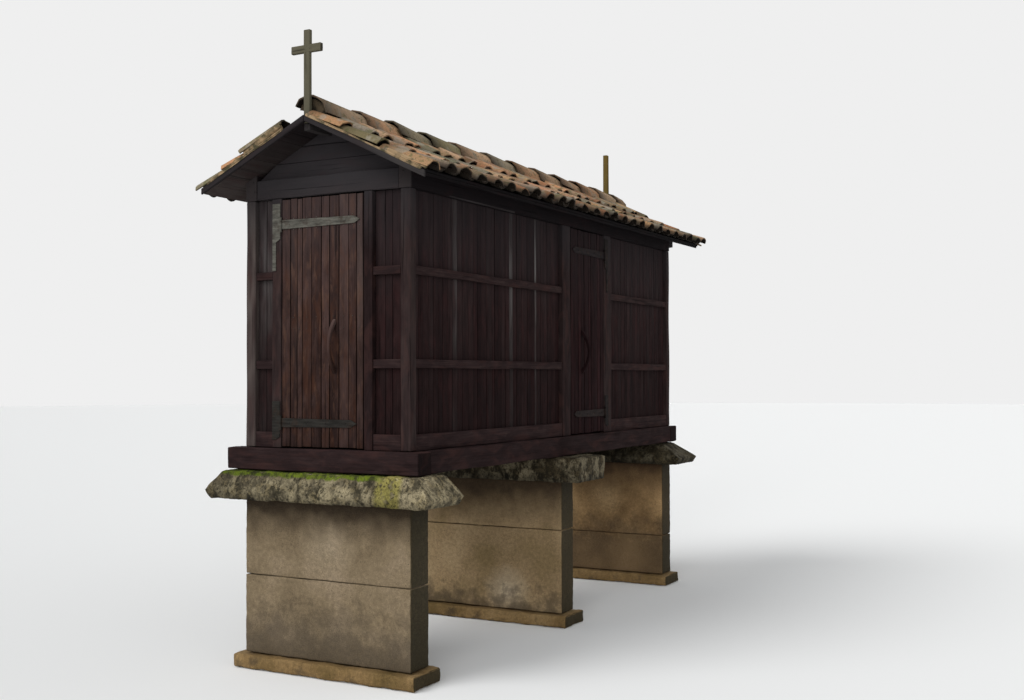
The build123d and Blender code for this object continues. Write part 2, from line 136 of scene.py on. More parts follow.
@dataclass(frozen=True)
class Layout:
    """Where the building's faces, edges and levels lie."""

    side_face: float = 0.750
    front_face: float = -2.550
    rear_face: float = 2.490
    verge: float = 2.820
    wall_levels: Pair = (1.668, 3.538)
    wall_top: float = 3.690
    apex: float = 4.03773
    slope_deg: float = 25.5
    tile_seat: float = 0.0223

    @property
    def slope_cos(self) -> float:
        """Cosine of the roof's slope."""
        return math.cos(math.radians(self.slope_deg))

    def roof_axes(self, side: Side) -> Axes:
        """Down-slope, along-roof and outward directions of a slope, right-handed.

        Args:
            side: The slope.

        Returns:
            Three unit vectors.
        """
        sign, sine = side.value, math.sin(math.radians(self.slope_deg))
        down = np.array([sign * self.slope_cos, 0.0, -sine])
        out = np.array([sign * sine, 0.0, self.slope_cos])
        return down, np.array([0.0, sign, 0.0]), out


LAYOUT = Layout()


# Surfaces


@dataclass
class Surface:
    """Points, faces and grain map of a piece, with each point's tone, weathering and dirt, partly painted light and
    shade.
    """

    points: Array
    faces: list[Array]
    grain: list[Array]
    tone: Array
    wear: Array
    grime: Array


def joined(parts: list[Surface]) -> Surface:
    """Puts several surfaces into one.

    Args:
        parts: Surfaces, which keep their order.

    Returns:
        One surface with all their points and faces.
    """
    starts = np.cumsum([0] + [len(part.points) for part in parts])
    faces = [face + start for part, start in zip(parts, starts) for face in part.faces]
    grain = [grain for part in parts for grain in part.grain]
    points, tone, wear, grime = (
        np.concatenate([getattr(part, name) for part in parts]) for name in ("points", "tone", "wear", "grime")
    )
    return Surface(points, faces, grain, tone, wear, grime)


def skinned(
    rings: Array, along: Array, around: Array, tone: Values = 0.5, wear: Values = 0.0, grime: Values = 0.0
) -> Surface:
    """Skins stacks of closed rings with quads, and closes each stack with a flat face at both ends.

    A quad joins points t and t + 1 of ring r to the same points of ring r + 1. Rings run anticlockwise
    seen from the last ring, so faces point outwards.

    Args:
        rings: Points of shape (stacks, rings, points, 3).
        along: Distance of each ring along its stack, shape (stacks, rings).
        around: Distance round the ring, with the closing one, shape (stacks, points + 1).
        tone: Shade from 0 to 1 of each stack, or one for all.
        wear: Weathering from 0 to 1 of each stack, a painted highlight on the front pull, or one for all.
        grime: Dirt from 0 to 1 of each point, which is painted shade on the tiles and the front pull, or one value for
            all.

    Returns:
        The surface.
    """
    stacks, ring_count, point_count, _ = rings.shape
    ids = np.arange(stacks * ring_count * point_count).reshape(stacks, ring_count, point_count)
    right = np.roll(ids, -1, axis=2)
    quads = np.stack([ids[:, :-1], right[:, :-1], right[:, 1:], ids[:, 1:]], axis=-1)
    u = np.broadcast_to(along[:, :, None], ids.shape)
    v = np.broadcast_to(around[:, None, :], (stacks, ring_count, point_count + 1))
    here = np.stack([u, v[..., :-1]], axis=-1)
    beside = np.stack([u, v[..., 1:]], axis=-1)
    quad_grain = np.stack([here[:, :-1], beside[:, :-1], beside[:, 1:], here[:, 1:]], axis=3)
    caps = np.concatenate([ids[:, 0, ::-1], ids[:, -1]])
    cap_grain = np.concatenate([here[:, 0, ::-1], here[:, -1]])
    tone, wear = (np.repeat(np.broadcast_to(given, stacks).astype(float), ids[0].size) for given in (tone, wear))
    grime = np.broadcast_to(grime, ids.shape).astype(float).ravel()
    grain = [quad_grain.reshape(-1, 4, 2), cap_grain]
    return Surface(rings.reshape(-1, 3), [quads.reshape(-1, 4), caps], grain, tone, wear, grime)


@dataclass(frozen=True)
class Working:
    """How a timber was worked and how far it has moved since."""

    ease: float = 0.004
    wander: float = 0.002
    station: float = 0.25
    plain: bool = False
    grimy: Pair = (0.0, 0.0)


HEWN = Working(ease=0.007, wander=0.005, station=0.16)
SAWN = Working(ease=0.004, wander=0.003, station=0.20)
SLATS = Working(ease=0.002, wander=0.002, station=0.62, plain=True, grimy=(0.6, 0.0))
SIDE_SLATS = replace(SLATS, grimy=(0.0, 0.45))
DECKING = Working(ease=0.0015, wander=0.001, station=0.6)
BEAD = Working(ease=0.006, wander=0.008, station=0.05)


def uneven_shares(rng: Chance, count: int, spread: float) -> Array:
    """Divides one into parts of uneven width.

    Args:
        rng: Source of the widths.
        count: How many parts.
        spread: How far a width may differ from the mean, as a share of it.

    Returns:
        The edges of the parts, from 0 to 1.
    """
    widths = rng.uniform(1 - spread, 1 + spread, count)
    return np.concatenate([[0], np.cumsum(widths) / widths.sum()])


def timbers(
    sizes: Array,
    corners: Array,
    axes: Axes,
    working: Working,
    rng: Chance,
    tone: Values = 0.5,
    wear: Values = 0.0,
    cuts: Array | None = None,
) -> Surface:
    """Squared timbers with eased arrises that wander a little along their length, and grimy ends.

    A point is corner + s * along + y * across + z * depth. (y, z) runs round a rectangle whose corners
    are cut off by the ease, and is drawn in by half the wander times one plus the sine of s over a
    random wavelength, with a random phase for each arris. The end rings are drawn in by the ease.

    Args:
        sizes: Length, width and depth of each timber, shape (count, 3).
        corners: The corner each starts from.
        axes: Unit vectors along, across and through the timbers.
        working: Ease, wander and spacing of the rings.
        rng: Source of the phases and grain offsets.
        tone: Shade of each timber, or one for all.
        wear: Weathering of each timber, a painted highlight on the plate strip, or one for all.
        cuts: How far the start and end cut run on for each metre across, shape (count, 2).

    Returns:
        All the timbers as one surface.
    """
    sizes, corners = np.atleast_2d(sizes), np.atleast_2d(corners)
    count = len(sizes)
    length, width, depth = sizes.T
    ease = np.minimum(working.ease, 0.3 * np.minimum(width, depth))
    none = np.zeros(count)
    half_w, half_d = width / 2, depth / 2
    far_w, far_d = width - ease, depth - ease
    section_y = np.stack([ease, half_w, far_w, width, width, width, far_w, half_w, ease, none, none, none], axis=1)
    section_z = np.stack([none, none, none, ease, half_d, far_d, depth, depth, depth, far_d, half_d, ease], axis=1)
    inward_y = np.array([0.5, 0, -0.5, -1, -1, -1, -0.5, 0, 0.5, 1, 1, 1])
    inward_z = np.array([1, 1, 1, 0.5, 0, -0.5, -1, -1, -1, -0.5, 0, 0.5])
    dirt = np.repeat(np.tile(working.grimy[::-1], 2), 3)
    if working.plain:
        kept = [0, 2, 3, 5, 6, 8, 9, 11]
        dirt = dirt[kept]
        section_y, section_z = section_y[:, kept], section_z[:, kept]
        inward_y, inward_z = inward_y[kept], inward_z[kept]
    stations = max(2, round(float(length.max()) / working.station) + 1)
    inner = ease[:, None] + np.linspace(0, 1, stations) * (length - 2 * ease)[:, None]
    s = np.concatenate([none[:, None], inner, length[:, None]], axis=1)
    wavelength = rng.uniform(0.5, 1.5, (count, 1, 1))
    phase = rng.uniform(0, 2 * np.pi, (count, 1, section_y.shape[1]))
    drawn = working.wander * (0.5 + 0.5 * np.sin(2 * np.pi * s[:, :, None] / wavelength + phase))
    drawn[:, [0, -1]] += ease[:, None, None]
    y = section_y[:, None, :] + inward_y * drawn
    z = section_z[:, None, :] + inward_z * drawn
    run = np.broadcast_to(s[:, :, None], y.shape)
    if cuts is not None:
        share = run / length[:, None, None]
        run = run + y * (cuts[:, :1, None] * (1 - share) + cuts[:, 1:, None] * share)
    along, across, through = (np.array(axis, float) for axis in axes)
    rings = corners[:, None, None, :] + run[..., None] * along + y[..., None] * across + z[..., None] * through
    steps = np.hypot(*(np.diff(side, axis=1, append=side[:, :1]) for side in (section_y, section_z)))
    around = np.concatenate([none[:, None], np.cumsum(steps, axis=1)], axis=1)
    grime = np.broadcast_to(dirt, y.shape).copy()
    grime[:, [0, -1]] = 0.8
    shift = rng.uniform(0, 40, (2, count, 1))
    return skinned(rings, s + shift[0], around + shift[1], tone, wear, grime)


def boxes(x: Span, y: Span, z: Span) -> tuple[Array, Array]:
    """Lowest and highest corners of boxes, by where they start and stop along X, Y and Z."""
    lows, highs = (np.stack(np.broadcast_arrays(*ends), axis=-1) for ends in zip(x, y, z))
    return lows, highs


@dataclass(frozen=True)
class Wall:
    """A wall or leaf: the axis that it faces, its outer face, that axis's sign inwards, and its bays."""

    name: str
    axis: int
    face: float
    inward: int
    bays: tuple[Span, ...] = ()

    def boxes(self, near: Values, far: Values, along: Span, levels: Span) -> tuple[Array, Array]:
        """Lowest and highest corners of boxes in the wall.

        Args:
            near: How deep their outer sides lie below its outer face.
            far: How deep their inner sides lie.
            along: Where they start and stop along it.
            levels: Their lower and upper ends.

        Returns:
            Two arrays of shape (count, 3).
        """
        sides = self.face + self.inward * near, self.face + self.inward * far
        through = np.minimum(*sides), np.maximum(*sides)
        return boxes(*((along, through) if self.axis else (through, along)), levels)


def squared(
    rng: Chance, lows: Array, highs: Array, grain: Grain, working: Working, tone: Values = 0.5, wear: Values = 0.0
) -> Surface:
    """Timbers that fill upright boxes, with the grain along one axis.

    Args:
        rng: Source of the phases and grain offsets.
        lows: Lowest corner of each box.
        highs: Highest corner of each box.
        grain: The axis that the fibres follow.
        working: Ease, wander and spacing of the rings.
        tone: Shade of each timber, or one for all.
        wear: Weathering of each timber, a painted highlight on the plate strip, or one for all.

    Returns:
        All the timbers as one surface.
    """
    low, high = np.atleast_2d(lows).astype(float), np.atleast_2d(highs).astype(float)
    order = [(grain.value + step) % 3 for step in range(3)]
    axes = tuple(np.eye(3)[order])
    return timbers((high - low)[:, order], low, axes, working, rng, tone, wear)


def ripple(points: Array, wavelength: float, seed: int, waves: int = 10) -> Array:
    """A smooth random height for each point, mostly from -1 to 1.

    It is the sum of sine waves in random directions, each within 0.6 to 1.5 times the wavelength,
    over the square root of half their number.

    Args:
        points: Points of shape (count, 3).
        wavelength: Usual distance between two crests.
        seed: Seed of the directions and phases.
        waves: How many waves are summed.

    Returns:
        One height for each point.
    """
    rng = np.random.default_rng(seed)
    directions = rng.normal(size=(waves, 3))
    directions /= np.linalg.norm(directions, axis=1, keepdims=True)
    pulse = 2 * np.pi / (wavelength * rng.uniform(0.6, 1.5, (waves, 1)))
    phase = rng.uniform(0, 2 * np.pi, waves)
    return np.sin(points @ (directions * pulse).T + phase).sum(axis=1) / math.sqrt(waves * 2)


@dataclass(frozen=True)
class Dressing:
    """How a stone was dressed and how far it has weathered."""

    rounding: float = 0.010
    cell: float = 0.022
    swell: float = 0.003
    swell_length: float = 0.30
    pitting: float = 0.0012
    pit_length: float = 0.045
    chipping: float = 0.008


def stone(
    low: Array, high: Array, dressing: Dressing, seed: int, taper: tuple[Array, Array, Array] | None = None
) -> Surface:
    """A squared stone with worn arrises and a rough face.

    The box's lattice points p are pulled onto a rounded box: the nearest point q of the box shrunk by
    the rounding, plus the rounding times the direction from q to p. They are then drawn inwards along
    that direction by two ripples, and near the arrises by a third one, which chips them.

    Args:
        low: Lowest corner.
        high: Highest corner.
        dressing: Rounding, cell size and roughness.
        seed: Seed of the ripples.
        taper: Heights, and the inset of X and of Y at each, for a stone that isn't straight-sided.

    Returns:
        The closed surface.
    """
    low, high = np.array(low, float), np.array(high, float)
    lines, round_off = [], dressing.rounding
    for a, b in zip(low, high):
        inner = np.linspace(a + round_off, b - round_off, max(2, round((b - a - 2 * round_off) / dressing.cell)) + 1)
        lines.append(np.concatenate([[a, a + round_off * 0.45], inner, [b - round_off * 0.45, b]]))
    counts = [len(line) for line in lines]
    faces = []
    for axis in range(3):
        first, second = (axis + 1) % 3, (axis + 2) % 3
        i, j = np.meshgrid(np.arange(counts[first] - 1), np.arange(counts[second] - 1), indexing="ij")
        for end in (0, counts[axis] - 1):
            loop = [(0, 0), (1, 0), (1, 1), (0, 1)] if end else [(0, 0), (0, 1), (1, 1), (1, 0)]
            quad = np.zeros((*i.shape, 4, 3), int)
            for place, (di, dj) in enumerate(loop):
                quad[..., place, axis] = end
                quad[..., place, first] = i + di
                quad[..., place, second] = j + dj
            faces.append(quad.reshape(-1, 4, 3))
    lattice = np.concatenate(faces)
    key = (lattice[..., 0] * counts[1] + lattice[..., 1]) * counts[2] + lattice[..., 2]
    used, quads = np.unique(key, return_inverse=True)
    quads = quads.reshape(-1, 4)
    index = np.stack([used // (counts[1] * counts[2]), used // counts[2] % counts[1], used % counts[2]], axis=1)
    points = np.stack([lines[axis][index[:, axis]] for axis in range(3)], axis=1)
    nearest = np.clip(points, low + round_off, high - round_off)
    outward = points - nearest
    distance = np.linalg.norm(outward, axis=1, keepdims=True)
    outward = outward / np.maximum(distance, 1e-9)
    points = nearest + outward * round_off
    at_arris = np.clip(1.6 - 1.6 * np.abs(outward).max(axis=1), 0, 1)
    if taper is not None:
        heights, inset_x, inset_y = taper
        middle, half = (low + high) / 2, (high - low) / 2
        for axis, inset in ((0, inset_x), (1, inset_y)):
            drawn = np.interp(points[:, 2], heights, inset)
            points[:, axis] = middle[axis] + (points[:, axis] - middle[axis]) * (1 - drawn / half[axis])
    depth = dressing.swell * (1 + ripple(points, dressing.swell_length, seed)) * 0.6
    depth += dressing.pitting * (1 + ripple(points, dressing.pit_length, seed + 1))
    depth += at_arris * dressing.chipping * np.clip(ripple(points, 0.09, seed + 2) + 0.1, 0, 1)
    points = points - outward * np.maximum(depth, 0)[:, None]
    none = np.zeros(len(points))
    return Surface(points, [quads], [np.zeros((len(quads), 4, 2))], none + 0.5, none, none)


def domes(centres: Array, out: Array, radius: float, rise: float) -> Surface:
    """Nail heads: three rings on a dome whose radius falls as the cosine while its height grows as the sine.

    Args:
        centres: Middle of each head on the surface it is driven into.
        out: Direction out of that surface.
        radius: Radius at the surface.
        rise: Height of the dome.

    Returns:
        All the heads as one surface.
    """
    side = np.cross(out, (0.0, 0.0, 1.0))
    up = np.cross(out, side)
    turn = np.linspace(0, 2 * np.pi, 8, endpoint=False)
    lift = np.radians([-20, 25, 65])
    circle = np.cos(turn)[:, None] * side + np.sin(turn)[:, None] * up
    dome = radius * np.cos(lift)[:, None, None] * circle + rise * np.sin(lift)[:, None, None] * out
    along = np.broadcast_to(radius * lift, (len(centres), 3))
    around = np.broadcast_to(radius * np.append(turn, 2 * np.pi), (len(centres), 9))
    return skinned(centres[:, None, None, :] + dome, along, around)


def curved_tiles(
    ends: Array,
    places: Array,
    lifts: Array,
    radii: Array,
    wall: float,
    half_angle_deg: Array,
    turned: Array,
    origin: Triple,
    axes: Axes,
    rng: Chance,
    tone: Array,
    wear: Values = 0.0,
    flank_dirt: Values = 0.0,
    ragged: float = 0.004,
    hollow_up: bool = False,
    mouth_dirt: Values = 0.0,
) -> Surface:
    """Hand-made curved clay tiles, each a tapered arc of even thickness, painted dark underneath as shade.

    At a share f of a tile's length its section is an outer arc of radius r(f) and back along an inner
    arc of r(f) less the wall, both about a centre at place(f), lift(f). Centre, radius and height
    change evenly from one end to the other, and both ends are ragged by a few millimetres.

    Args:
        ends: Start and end of each tile along the first axis, shape (count, 2).
        places: Centre along the second axis at both ends, shape (count, 2).
        lifts: Height of the arc's centre at both ends, shape (count, 2).
        radii: Outer radius at both ends, shape (count, 2).
        wall: Thickness of the clay.
        half_angle_deg: Half the angle of each arc.
        turned: Roll of each tile in radians.
        origin: Where the three distances are measured from.
        axes: Unit vectors along the tiles, across them and outwards.
        rng: Source of the ragged ends.
        tone: Shade of each tile.
        wear: How far the clay shows fresh, from 0 to 1.
        flank_dirt: Painted shade on the sides of each tile's back, from 0 to 1.
        ragged: How far the ends vary.
        hollow_up: True for channel tiles, which lie with the hollow upwards.
        mouth_dirt: Painted shade at each tile's lower end, from 0 to 1.

    Returns:
        All the tiles as one surface.
    """
    count, arc_points = len(ends), 7
    swing = np.linspace(1, -1, arc_points) * np.radians(half_angle_deg)[:, None]
    swing = np.concatenate([swing, swing[:, ::-1]], axis=1)
    inner = np.repeat([0.0, 1.0], arc_points)
    share = np.array([0.0, 0.5, 1.0])
    radius = radii[:, :1] + np.diff(radii) * share
    reach = radius[:, :, None] - wall * inner
    flip = -1.0 if hollow_up else 1.0
    angle = flip * swing[:, None, :] + turned[:, None, None]
    across = (places[:, :1] + np.diff(places) * share)[:, :, None] + reach * np.sin(angle)
    height = (lifts[:, :1] + np.diff(lifts) * share)[:, :, None] + flip * reach * np.cos(angle)
    run = np.broadcast_to((ends[:, :1] + np.diff(ends) * share)[:, :, None], across.shape).copy()
    nicks = rng.normal(0, ragged, (count, 2, arc_points))
    run[:, [0, 2]] += np.concatenate([nicks, nicks[..., ::-1]], axis=2)
    first, second, third = (np.array(axis, float) for axis in axes)
    rings = np.array(origin, float) + run[..., None] * first + across[..., None] * second
    rings = rings + height[..., None] * third
    around = np.broadcast_to(np.linspace(0, 0.5, 2 * arc_points + 1), (count, 2 * arc_points + 1))
    # Painted shade, carried as grime: under the covers, in the channels, on each tile's upper end under the lap, at the
    # mouths and on the flanks.
    outer_shade, inner_shade = (1.0, 0.55) if hollow_up else (0.0, 1.0)
    dirt = outer_shade + (inner_shade - outer_shade) * inner + np.array([0.6, 0.0, 0.0])[:, None]
    dirt = dirt + np.broadcast_to(mouth_dirt, count)[:, None, None] * np.array([0.0, 0.0, 1.0])[:, None]
    flank = (np.abs(swing) / swing.max() * 1.5 - 0.5).clip(0, 1) * (1 - inner)
    dirt = dirt + flank[:, None, :] * np.broadcast_to(flank_dirt, count)[:, None, None]
    return skinned(rings, run[:, :, 0], around, tone, wear, dirt.clip(0, 1))


# Finishes


def linear(colour: str) -> tuple[float, float, float, float]:
    """Turns an sRGB hex colour into linear values.

    Args:
        colour: Six hex digits after a hash.

    Returns:
        Red, green, blue and an alpha of 1.
    """
    parts = [int(colour[i : i + 2], 16) / 255 for i in (1, 3, 5)]
    red, green, blue = (p / 12.92 if p <= 0.04045 else ((p + 0.055) / 1.055) ** 2.4 for p in parts)
    return red, green, blue, 1.0


def add_node(
    tree: bpy.types.NodeTree, kind: str, inputs: list | tuple | dict = (), **settings: object
) -> bpy.types.Node:
    """Adds a shader node with its settings and links.

    Args:
        tree: The node tree.
        kind: The node's type without the leading ShaderNode.
        inputs: Its first inputs in order, or input names or numbers with theirs: each a value, a hex colour,
            or an output socket that is linked.
        **settings: Properties of the node.

    Returns:
        The node.
    """
    node = tree.nodes.new("ShaderNode" + kind)
    for name, value in settings.items():
        setattr(node, name, value)
    for name, value in inputs.items() if isinstance(inputs, dict) else enumerate(inputs):
        if isinstance(value, bpy.types.NodeSocket):
            tree.links.new(value, node.inputs[name])
        else:
            node.inputs[name].default_value = linear(value) if isinstance(value, str) else value
    return node


@dataclass
class Shading:
    """A material in the making, and the steps that the finishes share."""

    name: str

    def __post_init__(self) -> None:
        """Starts an empty material, and reads where a point lies, how it faces and what the mesh carries."""
        self.material = bpy.data.materials.new(self.name)
        self.material.use_nodes = True
        self.tree = self.material.node_tree
        self.tree.nodes.clear()
        own = add_node(self.tree, "TexCoord").outputs
        self.place, self.grain = own["Object"], own["UV"]
        self.x, self.y, self.z = add_node(self.tree, "SeparateXYZ", [self.place]).outputs
        self.facing_x, _, self.facing_z = add_node(self.tree, "SeparateXYZ", [own["Normal"]]).outputs
        carried = (self.add("Attribute", (), "Fac", attribute_name=name) for name in ("tone", "wear", "grime"))
        self.tone, self.wear, self.grime = carried

    def add(self, kind: str, inputs: list | tuple | dict, output: int | str = 0, **settings: object) -> Socket:
        """Adds a node as add_node does, and gives one of its outputs."""
        return add_node(self.tree, kind, inputs, **settings).outputs[output]

    def clouds(
        self, size_mm: Values, detail: float = 3.0, rough: float = 0.5, warp: float = 0.0, source: Socket | None = None
    ) -> Socket:
        """Lays a cloudy pattern over coordinates that are first brought to its real size.

        Args:
            size_mm: Width of its patches, or their widths along X, Y and Z.
            detail: How many finer patterns are laid over it.
            rough: How strong those are.
            warp: How far it is distorted.
            source: Coordinates, or none for the piece's own.

        Returns:
            Values about 0.5, mostly from 0.25 to 0.75.
        """
        scale = (1000.0 / np.broadcast_to(size_mm, 3)).tolist()
        sized = self.add("Mapping", {"Vector": source or self.place, "Scale": scale})
        inputs = {"Vector": sized, "Scale": 1.0, "Detail": detail, "Roughness": rough, "Distortion": warp}
        return self.add("TexNoise", inputs)

    def combined(self, operation: str, *terms: Socket | float | tuple) -> Socket:
        """Combines several values one after another.

        Args:
            operation: What is done with them, such as ADD.
            *terms: Each a value, or a tuple of a value, the levels it is held between, and what those two give
                if they don't give 0 and 1.

        Returns:
            The result.
        """
        values = [self.add("MapRange", term) if isinstance(term, tuple) else term for term in terms]
        result = values[0]
        for value in values[1:]:
            result = self.add("Math", [result, value], operation=operation)
        return result

    def coat(self, under: Socket | str, over: Socket | str, value: Socket, *levels: float) -> Socket:
        """Lays one colour over another.

        Args:
            under: The colour below.
            over: The colour that is laid on.
            value: Its share, or what that follows.
            *levels: Where the value starts and stops to count, and the share at both if they aren't 0 and 1.

        Returns:
            The colour that both give.
        """
        share = self.add("MapRange", [value, *levels]) if levels else value
        return self.add("Mix", {0: share, 6: under, 7: over}, 2, data_type="RGBA")

    def shades(self, value: Socket, *stops: tuple[float, str]) -> Socket:
        """Passes from one colour to the next as a value grows.

        Args:
            value: The value.
            *stops: Values with their hex colours, in order.

        Returns:
            The colour.
        """
        colour = stops[0][1]
        for (start, _), (stop, shade) in zip(stops, stops[1:]):
            colour = self.coat(colour, shade, value, start, stop)
        return colour

    def finished(
        self,
        colour: Socket,
        light: Socket,
        rough: tuple[Socket, float, float],
        relief: Socket,
        relief_mm: float,
        **surface: float,
    ) -> Material:
        """Ends the tree with the bumps, the surface shader and the output.

        Args:
            colour: The colour.
            light: What it is multiplied by, for shadows and crystals.
            rough: A pattern, and the roughness where it is 0.3 and 0.7.
            relief: Height of the bumps from 0 to 1.
            relief_mm: How deep they are.
            **surface: Uniform values of the shader, with _ for a space in their names.

        Returns:
            The material.
        """
        pattern, dull, smooth = rough
        inputs = {name.replace("_", " "): value for name, value in surface.items()}
        inputs["Base Color"] = self.add(
            "Mix", {0: 1.0, 6: colour, 7: light}, 2, data_type="RGBA", blend_type="MULTIPLY"
        )
        inputs["Roughness"] = self.add("MapRange", [pattern, 0.3, 0.7, dull, smooth])
        inputs["Normal"] = self.add("Bump", {"Height": relief, "Strength": 0.8, "Distance": relief_mm / 1000})
        add_node(self.tree, "OutputMaterial", [self.add("BsdfPrincipled", inputs)])
        return self.material


@dataclass(frozen=True)
class WeatheredTimber:
    """Old chestnut and oak, rived or sawn and left bare to the rain.

    The eye sees near-black brown wood with fine long fibres, brown and red stains, darker drying checks
    along them and, on the pieces that the rain reaches, a silver-grey skin that fades towards the foot.
    Towards the eaves it turns grey with a painted haze of sky light and the eave's shade, it is darker and redder
    towards the sill, and the joints are black.
    """

    name: str
    dark: str
    middle: str
    light: str
    silver: str
    eaves: str
    stain: str = "#3c2121"
    fleck: str = "#6d5343"
    grain: Grain = Grain.MAPPED
    fibre_mm: float = 7.0
    fibre_run_mm: float = 420.0
    check_mm: float = 26.0
    blotch_mm: float = 60.0
    blotch_run_mm: float = 210.0
    patch_mm: float = 90.0
    patch_run_mm: float = 520.0
    stain_share: float = 0.35
    fleck_share: float = 0.0
    fleck_mm: float = 38.0
    top_light: float = 1.3
    bump_mm: float = 1.2
    silver_levels: Pair = (0.0, 0.1)
    eaves_levels: Pair = (2.75, 3.70)
    eaves_share: float = 0.7
    foot_levels: Pair = (1.65, 3.20)
    foot_shade: float = 0.78
    joint_dirt_and_shade: float = 0.75
    lit_end_share: float = 0.0
    lit_end_levels: Pair = (-2.530, -2.545)

    def material(self) -> Material:
        """Builds the shader.

        Returns:
            The material.
        """
        s = Shading(self.name)
        mapped = self.grain is Grain.MAPPED
        axis = 0 if mapped else self.grain.value

        def streaks(width_mm: float, run_mm: float, detail: float, rough: float = 0.55, warp: float = 0.0) -> Socket:
            """A cloudy pattern that is drawn out along the fibres."""
            sizes = [run_mm if i == axis else width_mm for i in range(3)]
            return s.clouds(sizes, detail, rough, warp, s.grain if mapped else s.place)

        fibres = streaks(self.fibre_mm, self.fibre_run_mm, 5.0, 0.62)
        checks = streaks(self.check_mm, self.fibre_run_mm * 2.2, 3.0, warp=0.35)
        blotches = streaks(self.blotch_mm, self.blotch_run_mm, 4.0, 0.6, 0.4)
        stains = streaks(self.blotch_mm * 1.7, self.blotch_run_mm * 1.3, 4.0, 0.6, 0.6)
        flecks = streaks(self.fleck_mm, self.fleck_mm * 4.5, 5.0, 0.65, 0.5)
        patches = streaks(self.patch_mm, self.patch_run_mm, 2.0)
        shade = s.combined("ADD", fibres, s.tone, s.combined("MULTIPLY", blotches, 1.3))
        colour = s.shades(shade, (1.20, self.dark), (1.70, self.middle), (2.20, self.light))
        colour = s.coat(colour, self.stain, stains, 0.48, 0.66, 0.0, self.stain_share)
        colour = s.coat(colour, self.fleck, flecks, 0.52, 0.66, 0.0, self.fleck_share)
        rain = (s.z, *self.silver_levels, 0.22, 1.0)
        colour = s.coat(colour, self.silver, s.combined("MULTIPLY", (patches, 0.40, 0.66, 0.25, 1.0), rain, s.wear))
        # Painted light and shade: a grey haze towards the eaves, and on the soffit a darkening towards the ridge.
        colour = s.coat(colour, self.eaves, s.z, *self.eaves_levels, 0.0, self.eaves_share)
        # Painted light: faces at the front end, such as the plates' ends, take the silver colour.
        colour = s.coat(colour, self.silver, s.y, *self.lit_end_levels, 0.0, self.lit_end_share)
        crack = s.add("MapRange", [checks, 0.30, 0.40, 0.45, 1.0])
        foot = (s.z, *self.foot_levels, self.foot_shade, 1.0)
        # Dark joints, and painted shade where grime marks it, as on the foot of the front pull.
        joint = (s.grime, 0.0, 1.0, 1.0, 1.0 - self.joint_dirt_and_shade)
        light = s.combined("MULTIPLY", crack, foot, joint, (s.facing_z, 0.4, 0.9, 1.0, self.top_light))
        relief = s.combined("MULTIPLY", fibres, crack)
        return s.finished(colour, light, (fibres, 0.95, 0.72), relief, self.bump_mm, IOR=1.48, Specular_IOR_Level=0.04)


@dataclass(frozen=True)
class DressedGranite:
    """Granite of the country, split and dressed with a point.

    The eye sees warm grey-beige stone with salt and pepper crystals and small holes, soft dark blotches
    of damp at the foot, a dark stain with painted shade under the slab above, black-green algae with
    painted shade on the end that faces +X, and one paler place where it was rubbed.
    """

    name: str
    dark: str = "#6d5e48"
    middle: str = "#7e6e56"
    light: str = "#8d7c65"
    damp: str = "#39322a"
    soot_and_shade: str = "#2a1f13"
    shaded: str = "#2a2412"
    pale: str = "#a2937c"
    crystal_mm: float = 7.0
    # Broader than real crystals, which a building's width away melt into one grey.
    cloud_mm: float = 420.0
    blotch_mm: float = 120.0
    hole_mm: float = 34.0
    foot_levels: Pair = (0.24, 0.56)
    head_levels: Pair = (0.98, 1.22)
    head_share: float = 0.9
    foot_share: float = 0.75
    rubbed: Triple = (0.02, 0.96, 0.34)
    rubbed_share: float = 0.4
    bump_mm: float = 1.5

    def material(self) -> Material:
        """Builds the shader.

        Returns:
            The material.
        """
        s = Shading(self.name)
        blotch = s.clouds(self.blotch_mm, 5.0, 0.6)
        crystal = s.clouds(self.crystal_mm, 2.0, 0.6)
        grit = s.clouds(self.blotch_mm * 0.25, 5.0, 0.6)
        colour = s.shades(s.clouds(self.cloud_mm), (0.3, self.dark), (0.5, self.middle), (0.7, self.light))
        x, z, reach = self.rubbed
        aside, above = s.combined("ADD", s.x, -x), s.combined("ADD", s.z, -z)
        square = s.combined("ADD", s.combined("MULTIPLY", aside, aside), s.combined("MULTIPLY", above, above))
        distance = s.add("Math", [square], operation="SQRT")
        distance = s.combined("ADD", distance, s.combined("MULTIPLY", blotch, 0.12))
        colour = s.coat(colour, self.pale, distance, 0.08, reach, self.rubbed_share, 0.0)
        level = s.combined("ADD", s.z, (blotch, 0.3, 0.7, -0.16, 0.16))
        damp = s.combined("MULTIPLY", (level, *self.foot_levels, 1.0, 0.0), (grit, 0.35, 0.6, 0.45, self.foot_share))
        cells = s.add("TexVoronoi", {"Vector": s.place, "Scale": 1000.0 / self.hole_mm})
        holes = s.combined("MULTIPLY", (cells, 0.06, 0.20, 0.8, 0.0), (grit, 0.45, 0.60))
        colour = s.coat(colour, self.damp, s.combined("MAXIMUM", damp, holes))
        # Dark stain and painted shade in a band under the slab.
        head = s.combined("ADD", s.z, (blotch, 0.3, 0.7, -0.05, 0.05))
        colour = s.coat(colour, self.soot_and_shade, head, *self.head_levels, 0.0, self.head_share)
        # Black-green algae and painted shade on faces towards +X.
        colour = s.coat(colour, self.shaded, s.facing_x, 0.4, 0.9, 0.0, 0.93)
        light = s.combined("MULTIPLY", (crystal, 0.3, 0.7, 0.76, 1.24), (grit, 0.35, 0.65, 0.80, 1.12))
        relief = s.combined("ADD", crystal, grit)
        return s.finished(colour, light, (crystal, 0.95, 0.78), relief, self.bump_mm, IOR=1.55, Specular_IOR_Level=0.2)


